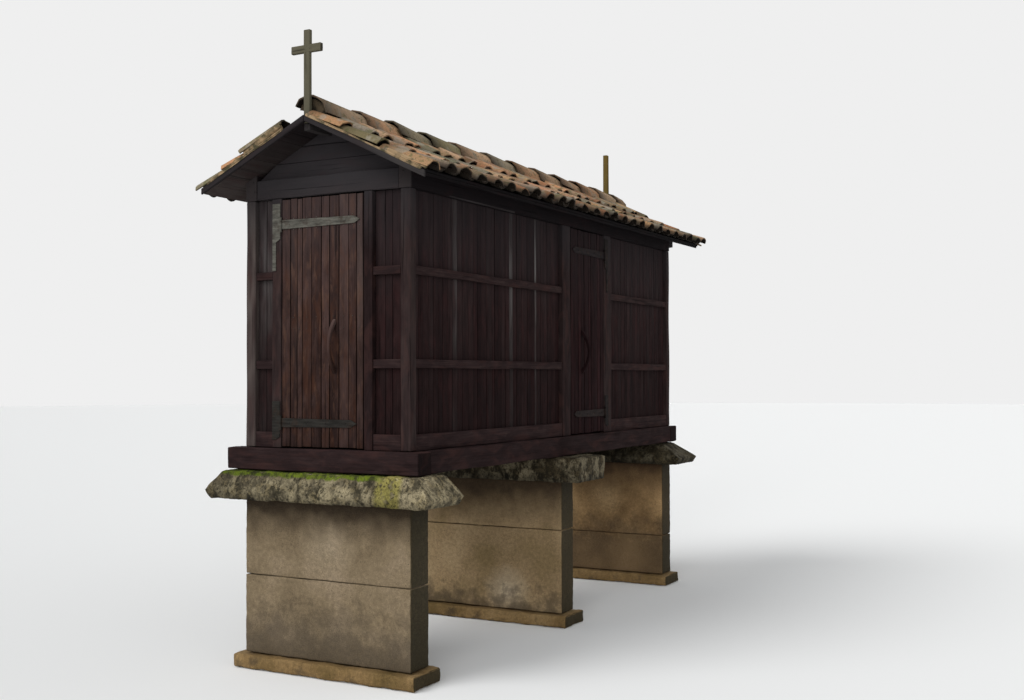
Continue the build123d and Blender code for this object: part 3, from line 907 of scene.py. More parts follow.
@dataclass(frozen=True)
class LichenedGranite:
    """Rough granite slabs that take the drip of the walls.

    The eye sees olive-dark stone under chalky crusts of lichen with black cracks between them, a darker
    lower rim, a mustard streak, and bright moss on the flat top by the sill.
    """

    name: str
    stone_dark: str = "#3b3628"
    stone_light: str = "#6d6450"
    chalk: str = "#9d9174"
    tan: str = "#85785a"
    pits: str = "#231f14"
    mustard: str = "#817940"
    moss: str = "#66751c"
    dark_moss: str = "#3b4119"
    crust_mm: float = 98.0
    crust_drop: float = 0.75
    crack_mm: float = 70.0
    pit_mm: float = 20.0
    crystal_mm: float = 8.0
    mustard_place: float = 0.65
    mustard_width: float = 0.125
    moss_until: float = 0.62
    moss_level: float = 1.462
    shade: Triple = (0.80, 0.50, 1.25)
    crack_share: float = 0.35
    rim_level: float = 1.33
    rim_shade: float = 0.55
    bump_mm: float = 3.5

    def material(self) -> Material:
        """Builds the shader.

        Returns:
            The material.
        """
        s = Shading(self.name)
        hung = s.add("Mapping", {"Vector": s.place, "Scale": (1.0, 1.0, self.crust_drop)})
        crust = s.clouds(self.crust_mm, 6.0, 0.62, 0.3, hung)
        spots = s.clouds(self.crust_mm * 0.45, 5.0, 0.6, 0.0, hung)
        pits = s.clouds(self.pit_mm, 4.0, 0.6)
        crystal = s.clouds(self.crystal_mm, 2.0)
        colour = s.shades(s.clouds(self.crust_mm * 1.8, 5.0), (0.36, self.stone_dark), (0.64, self.stone_light))
        colour = s.coat(colour, self.tan, spots, 0.50, 0.58, 0.0, 0.7)
        colour = s.coat(colour, self.chalk, crust, 0.47, 0.58, 0.0, 0.85)
        aside = s.add("Math", [s.combined("ADD", s.x, -self.mustard_place)], operation="ABSOLUTE")
        streak = (aside, self.mustard_width * 0.7, self.mustard_width, 0.90, 0.0)
        colour = s.coat(colour, self.mustard, s.combined("MULTIPLY", streak, (spots, 0.36, 0.46, 0.2, 1.0)))
        cells = {"Vector": hung, "Scale": 1000.0 / self.crack_mm}
        cells = s.add("TexVoronoi", cells, feature="DISTANCE_TO_EDGE")
        warped = s.combined("ADD", cells, (spots, 0.3, 0.7, -0.07, 0.07))
        crack = s.add("MapRange", [warped, 0.0, 0.09, self.crack_share, 0.0])
        colour = s.coat(colour, self.pits, s.combined("MAXIMUM", crack, (pits, 0.36, 0.48, 0.8, 0.0)))
        level = s.combined("ADD", s.z, (crust, 0.35, 0.65, -0.012, 0.012))
        near_door = (s.x, self.moss_until - 0.12, self.moss_until, 1.0, 0.0)
        mossy = s.combined("MULTIPLY", (level, self.moss_level - 0.006, self.moss_level + 0.006), near_door)
        mossy = s.combined("MULTIPLY", mossy, (s.facing_z, 0.1, 0.3), (pits, 0.36, 0.5, 0.6, 1.0))
        colour = s.coat(colour, s.coat(self.dark_moss, self.moss, spots, 0.42, 0.54), mossy)
        rim = s.combined("ADD", s.z, (spots, 0.3, 0.7, -0.03, 0.03))
        light = s.combined(
            "MULTIPLY",
            (crystal, 0.3, 0.7, 0.74, 1.22),
            (s.clouds(self.crust_mm * 2.2, 2.0), 0.38, 0.62, 0.80, 1.22),
            (s.x, -1.0, *self.shade),
            (rim, self.rim_level - 0.04, self.rim_level + 0.02, self.rim_shade, 1.0),
        )
        relief = s.combined("ADD", crust, spots, s.combined("ADD", crystal, s.combined("MULTIPLY", crack, -0.8)))
        return s.finished(colour, light, (crust, 0.98, 0.82), relief, self.bump_mm, IOR=1.55, Specular_IOR_Level=0.15)


@dataclass(frozen=True)
class FiredClay:
    """Hand-moulded terracotta roof tiles after decades of rain.

    The eye sees tiles that differ one from the next, from pink clay to ash grey, each dulled by sooty patches
    and crusted with olive and pale lichen, and black where one lies in the hollow of another, a painted shade.
    """

    name: str
    shades: tuple[str, ...] = (
        "#4c4032", "#a5704e", "#74705c", "#c08c66", "#8f8374", "#625d43", "#b58668", "#5a4e3e", "#bf9b7b"
    )
    fresh: str = "#c39a70"
    lichen: str = "#5f5f3d"
    ash: str = "#9a9283"
    soot_and_shade: str = "#211b15"
    crown: str = "#3c3a24"
    crown_share: float = 0.0
    grit_mm: float = 6.0
    crust_mm: float = 42.0
    bump_mm: float = 2.6

    def material(self) -> Material:
        """Builds the shader.

        Returns:
            The material.
        """
        s = Shading(self.name)
        last = len(self.shades) - 1
        crust = s.clouds(self.crust_mm, 6.0, 0.7, 0.8)
        wash = s.clouds(self.crust_mm * 2.4, 4.0)
        grit = s.clouds(self.grit_mm)
        colour = s.shades(s.tone, *((i / last, shade) for i, shade in enumerate(self.shades)))
        colour = s.coat(colour, self.fresh, s.wear)
        colour = s.coat(colour, self.lichen, crust, 0.52, 0.60, 0.0, 0.75)
        colour = s.coat(colour, self.ash, wash, 0.54, 0.64, 0.0, 0.6)
        crown = (s.facing_z, 0.70, 0.94, 0.0, self.crown_share)
        colour = s.coat(colour, self.crown, s.combined("MULTIPLY", crown, (wash, 0.35, 0.55, 1.0, 0.6)))
        # Sooty patches where the crust pattern is low, and painted shade where grime marks the tiles.
        colour = s.coat(colour, self.soot_and_shade, s.combined("MAXIMUM", (crust, 0.30, 0.41, 0.85, 0.0), s.grime))
        light = s.add("MapRange", [grit, 0.3, 0.7, 0.78, 1.32])
        relief = s.combined("ADD", crust, grit)
        return s.finished(colour, light, (grit, 0.98, 0.8), relief, self.bump_mm, IOR=1.5, Specular_IOR_Level=0.15)


@dataclass(frozen=True)
class ForgedIron:
    """Wrought iron straps, hammered flat and left to rust under old limewash and dust.

    The eye sees a dull sheet with hammer dimples, brown rust in the hollows, and the upper hinges of the
    gable paler where limewash clings, while those of the side are painted dark as shade under the eave.
    """

    name: str
    lower: str
    upper: str
    shaded: str = "#1a1514"
    rust: str = "#33251d"
    pale_from: float = 2.3
    pale_to: float = 3.0
    shaded_from: float = -1.5
    dimple_mm: float = 55.0
    scale_mm: float = 6.0
    streak_mm: Triple = (150.0, 150.0, 22.0)
    bump_mm: float = 0.5

    def material(self) -> Material:
        """Builds the shader.

        Returns:
            The material.
        """
        s = Shading(self.name)
        dimples = s.clouds(self.dimple_mm, 4.0, 0.6)
        flakes = s.clouds(self.scale_mm, 4.0)
        streaks = s.clouds(self.streak_mm, 4.0, 0.6)
        colour = s.coat(self.lower, self.upper, s.z, self.pale_from, self.pale_to)
        # Painted shade: hinge leaves on the side door, beyond shaded_from along Y, turn dark.
        colour = s.coat(colour, self.shaded, s.y, self.shaded_from, self.shaded_from + 0.5)
        colour = s.coat(colour, self.rust, dimples, 0.32, 0.50, 0.55, 0.0)
        light = s.combined("MULTIPLY", (flakes, 0.3, 0.7, 0.88, 1.12), (streaks, 0.38, 0.62, 0.60, 1.25))
        relief = s.combined("ADD", dimples, flakes)
        return s.finished(
            colour, light, (flakes, 0.9, 0.66), relief, self.bump_mm, Metallic=0.2, Specular_IOR_Level=0.1
        )


@dataclass(frozen=True)
class LimeMortar:
    """Lime and sand bedding, thrown on with a trowel.

    The eye sees a cream, gritty bead with grey dirt in its hollows.
    """

    name: str
    body: str = "#a58c6c"
    dirt: str = "#57503c"
    grit_mm: float = 5.0
    patch_mm: float = 70.0
    bump_mm: float = 2.5

    def material(self) -> Material:
        """Builds the shader.

        Returns:
            The material.
        """
        s = Shading(self.name)
        grit = s.clouds(self.grit_mm)
        colour = s.shades(s.clouds(self.patch_mm, 5.0), (0.38, self.dirt), (0.54, self.body))
        light = s.add("MapRange", [grit, 0.3, 0.7, 0.8, 1.15])
        return s.finished(colour, light, (grit, 0.98, 0.86), grit, self.bump_mm, Specular_IOR_Level=0.15)


WALL = {"fibre_mm": 5.0, "silver_levels": (2.1, 3.1), "foot_shade": 0.62}
OUT_OF_REACH = {"mustard_place": 9.0, "moss_until": -9.0}


class Finish(Enum):
    """Every finish of the building, each with what it is made of."""

    FRAME = WeatheredTimber(
        "weathered_chestnut_frame", "#1e1515", "#2b2020", "#3d302e", "#5c5450", "#343234", stain="#3f2a27",
        stain_share=0.5, foot_shade=1.1, eaves_levels=(3.10, 3.66), eaves_share=0.9,
    )
    PLATES = WeatheredTimber(
        "smoked_chestnut_plate", "#171314", "#1e191b", "#292325", "#3d3838", "#1f1b1d",
        grain=Grain.LENGTHWISE, lit_end_share=0.8,
    )
    BOARDS = WeatheredTimber("rain_stained_wall_boards", "#1b1112", "#281b1b", "#382828", "#6f6b69", "#2b282a", **WALL)
    DOOR = WeatheredTimber(
        "reddened_door_boards", "#1f1514", "#362724", "#503d39", "#6a5f5a", "#3e3535", stain="#4e2f20",
        stain_share=0.5, fleck="#6e5040", fleck_share=0.35, joint_dirt_and_shade=0.6, **WALL,
    )
    SIDE_DOOR = WeatheredTimber(
        "shaded_door_boards", "#1e1213", "#2a191a", "#3a2425", "#4b4340", "#282425",
        stain_share=0.2, **(WALL | {"foot_shade": 0.85}),
    )
    ROOF = WeatheredTimber(
        "smoke_dark_roof_timber", "#252122", "#2c2829", "#353132", "#5a5652", "#312e2f", joint_dirt_and_shade=0.2
    )
    # A darker copy of the roof timber: painted shade under the right eave, on its deck and lath.
    EAVES = WeatheredTimber(
        "sooted_eaves_timber", "#120f10", "#181516", "#211d1e", "#2e2a2a", "#171516", joint_dirt_and_shade=0.3
    )
    # A lighter copy of the roof timber: painted sky light on the left deck's underside, darkening towards the ridge as
    # painted shade.
    SOFFIT = WeatheredTimber(
        "dusty_soffit_boards", "#37302f", "#443c3a", "#504844", "#5a5652", "#1f1b1c",
        eaves_levels=(3.62, 3.98), eaves_share=0.9, joint_dirt_and_shade=0.1,
    )
    OAK = WeatheredTimber(
        "mossed_oak_cross", "#37342a", "#565344", "#74705c", "#85826a", "#5d594b",
        stain="#4a4526", fibre_mm=6.0, fibre_run_mm=180.0,
    )
    FINIAL = WeatheredTimber(
        "orange_lichened_post", "#3c3220", "#5d4e2c", "#86703c", "#8a8450", "#66552d",
        stain="#8a5a22", fibre_run_mm=160.0,
    )
    # Lighter and greyer than the wall boards: a painted haze of sky light on the gables.
    GABLE = WeatheredTimber(
        "smoked_gable_boards", "#2a2728", "#343032", "#3f3b3c", "#504b47", "#353234", joint_dirt_and_shade=0.25, fibre_mm=5.0
    )
    GRANITE = DressedGranite("point_dressed_granite")
    # The middle and rear piers are lighter copies, painted light against the shade under the chamber; the rear one is
    # browner too.
    MIDDLE_GRANITE = DressedGranite(
        "dry_dressed_granite", "#836f4d", "#97805f", "#a9926f", soot_and_shade="#33261a", pale="#c4b59c",
        foot_levels=(0.12, 0.30), head_levels=(0.86, 1.20), rubbed=(0.20, 0.27, 0.32), rubbed_share=0.65,
    )
    REAR_GRANITE = DressedGranite(
        "rain_dark_granite", "#755c3d", "#957852", "#ae8e64", soot_and_shade="#38271a", pale="#a8906c",
        foot_levels=(0.46, 0.74), head_levels=(0.90, 1.24), rubbed=(0.10, 0.92, 0.30), foot_share=0.6,
    )
    FOOTING = DressedGranite(
        "rough_footing_granite", "#65522f", "#826944", "#9a8058", foot_levels=(-0.1, 0.02), head_levels=(3.0, 3.1)
    )
    CAPSTONE = LichenedGranite("lichened_granite_slab")
    MIDDLE_CAPSTONE = LichenedGranite(
        "half_shaded_granite_slab", "#2a2519", "#443b2a", "#90856c", "#5c513c", shade=(0.85, 0.38, 0.85), **OUT_OF_REACH
    )
    FAR_CAPSTONE = LichenedGranite(
        "shaded_granite_slab", "#2c2618", "#4a4230", "#6d6552", "#5a503b", shade=(0.85, 0.35, 0.75), **OUT_OF_REACH
    )
    CLAY = FiredClay("weathered_clay_tile")
    # Lighter shades than the field tiles: painted light on the ridge's shaded flanks, under an olive lichen crown.
    RIDGE_CLAY = FiredClay(
        "lichened_ridge_tile",
        ("#8d7156", "#c08d69", "#98907b", "#c99a74", "#a5937d", "#8b8362", "#c4936f", "#94806a", "#cba684"),
        crown_share=0.9,
    )
    FRONT_IRON = ForgedIron("limewashed_forged_iron", "#2c2a27", "#5d5b54")
    # A darker copy for the side door's straps and nails: painted shade under the eave.
    SIDE_IRON = ForgedIron("rusted_forged_iron", "#241d1c", "#221c1d", shaded_from=9.0)
    MORTAR = LimeMortar("lime_bedding_mortar")
    # Dark mortar for the ridge's bedding and end plugs; the dark stands in for shade under the ridge tiles.
    OLD_MORTAR = LimeMortar("sooted_bedding_mortar", "#4a3f30", "#262119")

    @cached_property
    def material(self) -> Material:
        """Its material, which is made when it is first asked for."""
        return self.value.material()


# Pieces


def make_piece(
    name: str,
    surface: Surface,
    finish: Finish,
    replaces: tuple[str, ...] = (),
    crease_deg: float = 32.0,
    body: Body = Body.GRANARY,
) -> None:
    """Turns a surface into a finished piece that rides on its body.

    Args:
        name: Name of the piece.
        surface: Its points and faces.
        finish: Its finish.
        replaces: CAD nodes that it stands for.
        crease_deg: Faces that meet at more than this angle keep a sharp edge.
        body: The body that carries it.
    """
    mesh = bpy.data.meshes.new(name)
    corners = np.concatenate([face.ravel() for face in surface.faces])
    sizes = np.concatenate([np.full(len(face), face.shape[1]) for face in surface.faces])
    mesh.vertices.add(len(surface.points))
    mesh.vertices.foreach_set("co", surface.points.astype(np.float32).ravel())
    mesh.loops.add(len(corners))
    mesh.loops.foreach_set("vertex_index", corners.astype(np.int32))
    mesh.polygons.add(len(sizes))
    mesh.polygons.foreach_set("loop_start", (np.cumsum(sizes) - sizes).astype(np.int32))
    mesh.update(calc_edges=True)
    grain = np.concatenate([part.reshape(-1, 2) for part in surface.grain])
    mesh.uv_layers.new(name="grain").data.foreach_set("uv", grain.astype(np.float32).ravel())
    for attribute, values in (("tone", surface.tone), ("wear", surface.wear), ("grime", surface.grime)):
        mesh.attributes.new(attribute, "FLOAT", "POINT").data.foreach_set("value", values.astype(np.float32))
    mesh.shade_smooth()
    mesh.set_sharp_from_angle(angle=math.radians(crease_deg))
    mesh.validate()
    mesh.materials.append(finish.material)
    piece = bpy.data.objects.new(name, mesh)
    bpy.context.scene.collection.objects.link(piece)
    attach(piece, body.value)
    if replaces:
        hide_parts(*replaces)
    LOG.info("%s: %d faces on %s", name, len(sizes), body.value)


def box_of(node: str) -> tuple[Array, Array]:
    """Lowest and highest corner of a CAD node."""
    low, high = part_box(node)
    return np.array(low), np.array(high)


def dress_node(frame: dict, node: str, finish: Finish) -> None:
    """Gives a CAD node its finish.

    Args:
        node: Name of the node.
        finish: The finish.
    """
    mesh = frame["nodes"][node].data
    mesh.materials.clear()
    mesh.materials.append(finish.material)
    LOG.info("%s: CAD node dressed with %s", node, finish.value.name)


@dataclass(kw_only=True)
class Craft:
    """A sub-assembly, with the seed of its own unevenness."""

    seed: int

    def __post_init__(self) -> None:
        """Starts the source of the unevenness."""
        self.rng = np.random.default_rng(self.seed)


# Stonework


@dataclass
class StoneSupports:
    """Three piers of two stones on a footing, each under a wide capstone."""

    piers: tuple[tuple[str, Finish, Finish, Triple], ...] = (
        ("front", Finish.GRANITE, Finish.CAPSTONE, (0.040, 0.070, 0.130)),
        ("middle", Finish.MIDDLE_GRANITE, Finish.MIDDLE_CAPSTONE, (0.015, 0.205, 0.015)),
        ("rear", Finish.REAR_GRANITE, Finish.FAR_CAPSTONE, (0.040, 0.070, 0.240)),
    )
    pier_dressing: Dressing = Dressing()
    slab_dressing: Dressing = Dressing(0.016, 0.017, 0.007, 0.22, 0.003, 0.05, 0.02)
    rough_dressing: Dressing = Dressing(0.02, 0.028, 0.008, 0.25, 0.003, 0.06, 0.02)
    crease_deg: float = 60.0
    footing_seed: int = 11
    pier_seed: int = 20
    cap_seed: int = 40

    def build(self) -> None:
        """Builds the footings, piers and capstones."""
        low, high = box_of("footings")
        slabs = []
        for number, (place, *_) in enumerate(self.piers):
            pier_low, pier_high = box_of(f"pier_{place}_lower_stone")
            reach = pier_low[0] - low[0]
            near, far = (low[0], pier_low[1] - reach, low[2]), (high[0], pier_high[1] + reach, high[2])
            slabs.append(stone(near, far, self.rough_dressing, self.footing_seed + number))
        make_piece("rough_footing_slabs", joined(slabs), Finish.FOOTING, ("footings",), self.crease_deg)
        for number, (place, granite, lichened, insets) in enumerate(self.piers):
            for upper, part in enumerate(("lower", "upper")):
                node = f"pier_{place}_{part}_stone"
                block = stone(*box_of(node), self.pier_dressing, self.pier_seed + 2 * number + upper)
                make_piece(f"dressed_{node}", block, granite, (node,), self.crease_deg)
            self.capstone(f"capstone_{place}", lichened, insets, self.cap_seed + number)

    def capstone(self, node: str, finish: Finish, insets: Triple, seed: int) -> None:
        """Builds one capstone, drawn in below and above its rim.

        Args:
            node: The CAD node that it stands for.
            finish: Its finish.
            insets: How far its foot is drawn in, the height of its rim, and how far its top is drawn in.
            seed: Seed of its roughness.
        """
        low, high = box_of(node)
        foot, rim, top = insets
        drawn = np.array([foot, 0.0, top])
        taper = (np.array([low[2], low[2] + rim, high[2]]), drawn, drawn / 2)
        slab = stone(low, high, self.slab_dressing, seed, taper)
        make_piece(f"rough_{node}", slab, finish, (node,), self.crease_deg)


# Timber chamber


@dataclass(kw_only=True)
class TimberFrame(Craft):
    """Sills, posts, tie beams, wall plates, jambs, rails and floor of the chamber."""

    frame: dict
    seed: int = 101
    sill_width: float = 0.150
    post_width: float = 0.090
    post_depth: float = 0.080
    plate_inner: float = 0.650
    jamb_depth: float = 0.072
    front_jambs: tuple[Span, Span] = ((-0.497, 0.345), (-0.410, 0.420))
    side_jambs: tuple[Span, Span] = ((-0.110, 0.777), (0.050, 0.937))
    rail_face: float = 0.008
    board_face: float = 0.040
    rails: tuple[Span, ...] = ((0.0, 0.117), (0.588, 0.066), (1.260, 0.063))
    walls: tuple[Wall, ...] = (
        Wall("front", 1, LAYOUT.front_face, 1, ((-0.660, -0.497), (0.420, 0.660))),
        Wall("rear", 1, LAYOUT.rear_face, -1, ((-0.660, 0.660),)),
        Wall("left", 0, -LAYOUT.side_face, 1, ((-2.470, 2.410),)),
        Wall("right", 0, LAYOUT.side_face, -1, ((-2.470, -0.110), (0.937, 2.410))),
    )
    floor_board: float = 0.16
    floor_gap: float = 0.002
    strip_run: Pair = (-2.03, -1.0)
    tail_reach: float = 0.13
    tail_levels: Pair = (3.588, 3.672)
    tail_sides: Pair = (0.655, 0.745)

    def build(self) -> None:
        """Builds all the timbers of the frame."""
        self.sills()
        self.uprights()
        self.beams()
        self.rail_sets()
        self.floor()

    def timber(self, name: str, *shape: object, stands: bool = True) -> None:
        """Makes timbers of the frame.

        Args:
            name: How they are worked, and the CAD node that they stand for.
            *shape: Corners, grain, working, tone and wear, as squared takes them.
            stands: False where there is no such node: the tails, which only the photo's building has, and the strip
                that paints a highlight.
        """
        nodes = (name.partition("_")[2],) if stands else ()
        make_piece(name, squared(self.rng, *shape), Finish.FRAME, nodes)

    def sills(self) -> None:
        """Builds the hewn sill beams."""
        for node in ("sill_front", "sill_rear"):
            self.timber(f"hewn_{node}", *box_of(node), Grain.ACROSS, HEWN, 0.42)
        low, high = box_of("side_sills")
        x = (low[0], high[0] - self.sill_width), (low[0] + self.sill_width, high[0])
        sills = boxes(x, (low[1], high[1]), (low[2], high[2]))
        self.timber("hewn_side_sills", *sills, Grain.LENGTHWISE, HEWN, 0.3)

    def uprights(self) -> None:
        """Builds the posts and the jambs of both doors."""
        side, post, front = LAYOUT.side_face, self.post_width, LAYOUT.front_face
        x = (-side, side - post), (post - side, side)
        for end, near, tone in (("front", front, (0.62, 0.50)), ("rear", LAYOUT.rear_face - self.post_depth, 0.4)):
            posts = boxes(x, (near, near + self.post_depth), LAYOUT.wall_levels)
            self.timber(f"hewn_{end}_posts", *posts, Grain.UPRIGHT, HEWN, tone, (0.75, 0.14))
        jambs = boxes(self.front_jambs, (front, front + self.jamb_depth), LAYOUT.wall_levels)
        self.timber("sawn_front_door_jambs", *jambs, Grain.UPRIGHT, SAWN, (0.5, 0.2), (0.15, 0.0))
        jambs = boxes((side - self.jamb_depth, side), self.side_jambs, LAYOUT.wall_levels)
        self.timber("sawn_side_door_jambs", *jambs, Grain.UPRIGHT, SAWN, (0.35, 0.4), (0.05, 0.12))

    def beams(self) -> None:
        """Builds the tie beams, dresses the wall plates, and adds their tails and a pale strip below one as a painted
        highlight.
        """
        inner, depth, front, rear = self.plate_inner, self.post_depth, LAYOUT.front_face, LAYOUT.rear_face
        y = (front, rear - depth), (front + depth, rear)
        beams = boxes((-inner, inner), y, (LAYOUT.wall_levels[1], LAYOUT.wall_top))
        self.timber("hewn_tie_beams", *beams, Grain.ACROSS, HEWN, 0.5, (0.2, 0.0))
        dress_node(self.frame, "wall_plates", Finish.PLATES)
        low, high = box_of("wall_plates")
        # A pale strip along the right plate's lower edge, a painted highlight.
        strip = boxes((high[0] - 0.006, high[0] + 0.003), self.strip_run, (low[2] - 0.004, low[2] + 0.010))
        self.timber("bleached_plate_strip", *strip, Grain.LENGTHWISE, SAWN, 0.6, 1.0, stands=False)
        inner, outer = self.tail_sides
        tails = boxes(((-outer, inner), (-inner, outer)), (rear - 0.01, rear + self.tail_reach), self.tail_levels)
        self.timber("sawn_plate_tails", *tails, Grain.LENGTHWISE, SAWN, 0.3, stands=False)

    def rail_sets(self) -> None:
        """Builds the rails that hold the boards, round all four walls."""
        level, height = np.array(self.rails).T
        for wall in self.walls:
            bays = np.repeat(wall.bays, len(level), axis=0).T
            start = LAYOUT.wall_levels[0] + np.tile(level, len(wall.bays))
            rails = wall.boxes(self.rail_face, self.board_face, bays, (start, start + np.tile(height, len(wall.bays))))
            darkest = 0.45 if wall.axis else 0.5
            tone = self.rng.uniform(darkest, darkest + 0.15, len(start))
            self.timber(f"sawn_rails_{wall.name}", *rails, Grain(1 - wall.axis), SAWN, tone)

    def floor(self) -> None:
        """Builds the floor boards, laid across the chamber."""
        low, high = box_of("chamber_floor")
        edges = np.linspace(low[1], high[1], round((high[1] - low[1]) / self.floor_board) + 1)
        y = edges[:-1] + self.floor_gap, edges[1:] - self.floor_gap
        corners = boxes((low[0], high[0]), y, (low[2], high[2]))
        boards = squared(self.rng, *corners, Grain.ACROSS, SLATS, self.rng.uniform(0.3, 0.7, len(y[0])))
        make_piece("laid_floor_boards", boards, Finish.BOARDS, ("chamber_floor",))


@dataclass(kw_only=True)
class WallBoards(Craft):
    """Upright slats behind the rails, with open joints that air the grain, and the gable boarding."""

    frame: TimberFrame
    seed: int = 202
    width: float = 0.070
    spread: float = 0.30
    joint: float = 0.0035
    thickness: float = 0.022
    set_back: float = 0.003
    gable_rows: int = 3
    gable_joint: float = 0.0015
    gable_tip: float = 0.012
    pale_slats: tuple[Triple, ...] = (
        (-1.915, -1.845, 0.52), (-1.022, -0.962, 0.90), (-0.570, -0.538, 1.35), (0.962, 0.985, 0.8),
    )

    def slats(self, start: float, stop: float) -> Array:
        """Divides a stretch of wall into slats of uneven width.

        Args:
            start: Where it starts.
            stop: Where it ends.

        Returns:
            The two edges and the weathering of each slat, shape (count, 3).
        """
        count = max(1, round((stop - start) / self.width))
        edges = start + (stop - start) * uneven_shares(self.rng, count, self.spread)
        joint = self.rng.uniform(0.0, 1.0, count + 1) ** 2 * self.joint
        joint[[0, -1]] = 0.0
        wear = self.rng.uniform(0, 0.08, count)
        return np.stack([edges[:-1] + joint[:-1] / 2, edges[1:] - joint[1:] / 2, wear], axis=1)

    def bay(self, start: float, stop: float, pale: tuple) -> Array:
        """Lays out one bay: plain slats between the pale ones that the rain has bleached.

        Args:
            start: Where the bay starts.
            stop: Where it ends.
            pale: Both edges and the weathering of each pale slat, in order.

        Returns:
            The two edges and the weathering of each slat, shape (count, 3).
        """
        rows = []
        for low, high, silver in [*(slat for slat in pale if start < slat[0] < stop), (stop, stop, 0.0)]:
            rows.append(self.slats(start, low))
            if high > low:
                rows.append(np.array([[low + self.joint / 4, high - self.joint / 4, silver]]))
            start = high
        return np.concatenate(rows)

    def build(self) -> None:
        """Builds the slats of all four walls and the boarding of both gables."""
        outer, rng = self.frame.board_face, self.rng
        for wall in self.frame.walls:
            pale = self.pale_slats if wall.name == "right" else ()
            first, second, wear = np.concatenate([self.bay(*bay, pale) for bay in wall.bays]).T
            count = len(first)
            near = outer + rng.uniform(0, self.set_back, count)
            corners = wall.boxes(near, outer + self.thickness, (first, second), LAYOUT.wall_levels)
            if wall.name == "front":
                wear = wear + np.where(second < 0, rng.uniform(0.32, 0.48, count), 0.0)
            tone = rng.normal(0.5, 0.13, count).clip(0.1, 0.9)
            surface = squared(rng, *corners, Grain.UPRIGHT, SLATS if wall.axis else SIDE_SLATS, tone, wear)
            make_piece(f"upright_slats_{wall.name}", surface, Finish.BOARDS, (f"boards_{wall.name}",))
        self.gables()

    def gables(self) -> None:
        """Builds the level boards of both gable triangles, cut to the slope at both ends."""
        levels = np.linspace(LAYOUT.wall_top, LAYOUT.apex, self.gable_rows + 1)
        reach = (LAYOUT.apex - levels) / math.tan(math.radians(LAYOUT.slope_deg))
        reach = np.minimum(reach, self.frame.plate_inner)
        reach[-1] = self.gable_tip
        height = np.diff(levels)
        cut = -np.diff(reach) / height
        thick = np.full(self.gable_rows, self.thickness)
        sizes = np.stack([2 * reach[:-1], height - self.gable_joint, thick], axis=1)
        axes = ((1.0, 0.0, 0.0), (0.0, 0.0, 1.0), (0.0, -1.0, 0.0))
        parts = []
        inset = self.frame.board_face
        for y in (LAYOUT.front_face + inset + self.thickness, LAYOUT.rear_face - inset):
            corners = np.stack([-reach[:-1], np.full(self.gable_rows, y), levels[:-1]], axis=1)
            tone = self.rng.uniform(0.35, 0.6, self.gable_rows)
            parts.append(timbers(sizes, corners, axes, SLATS, self.rng, tone, 0.1, np.stack([cut, -cut], axis=1)))
        make_piece("level_gable_boards", joined(parts), Finish.GABLE, ("gable_boards",))


# Doors


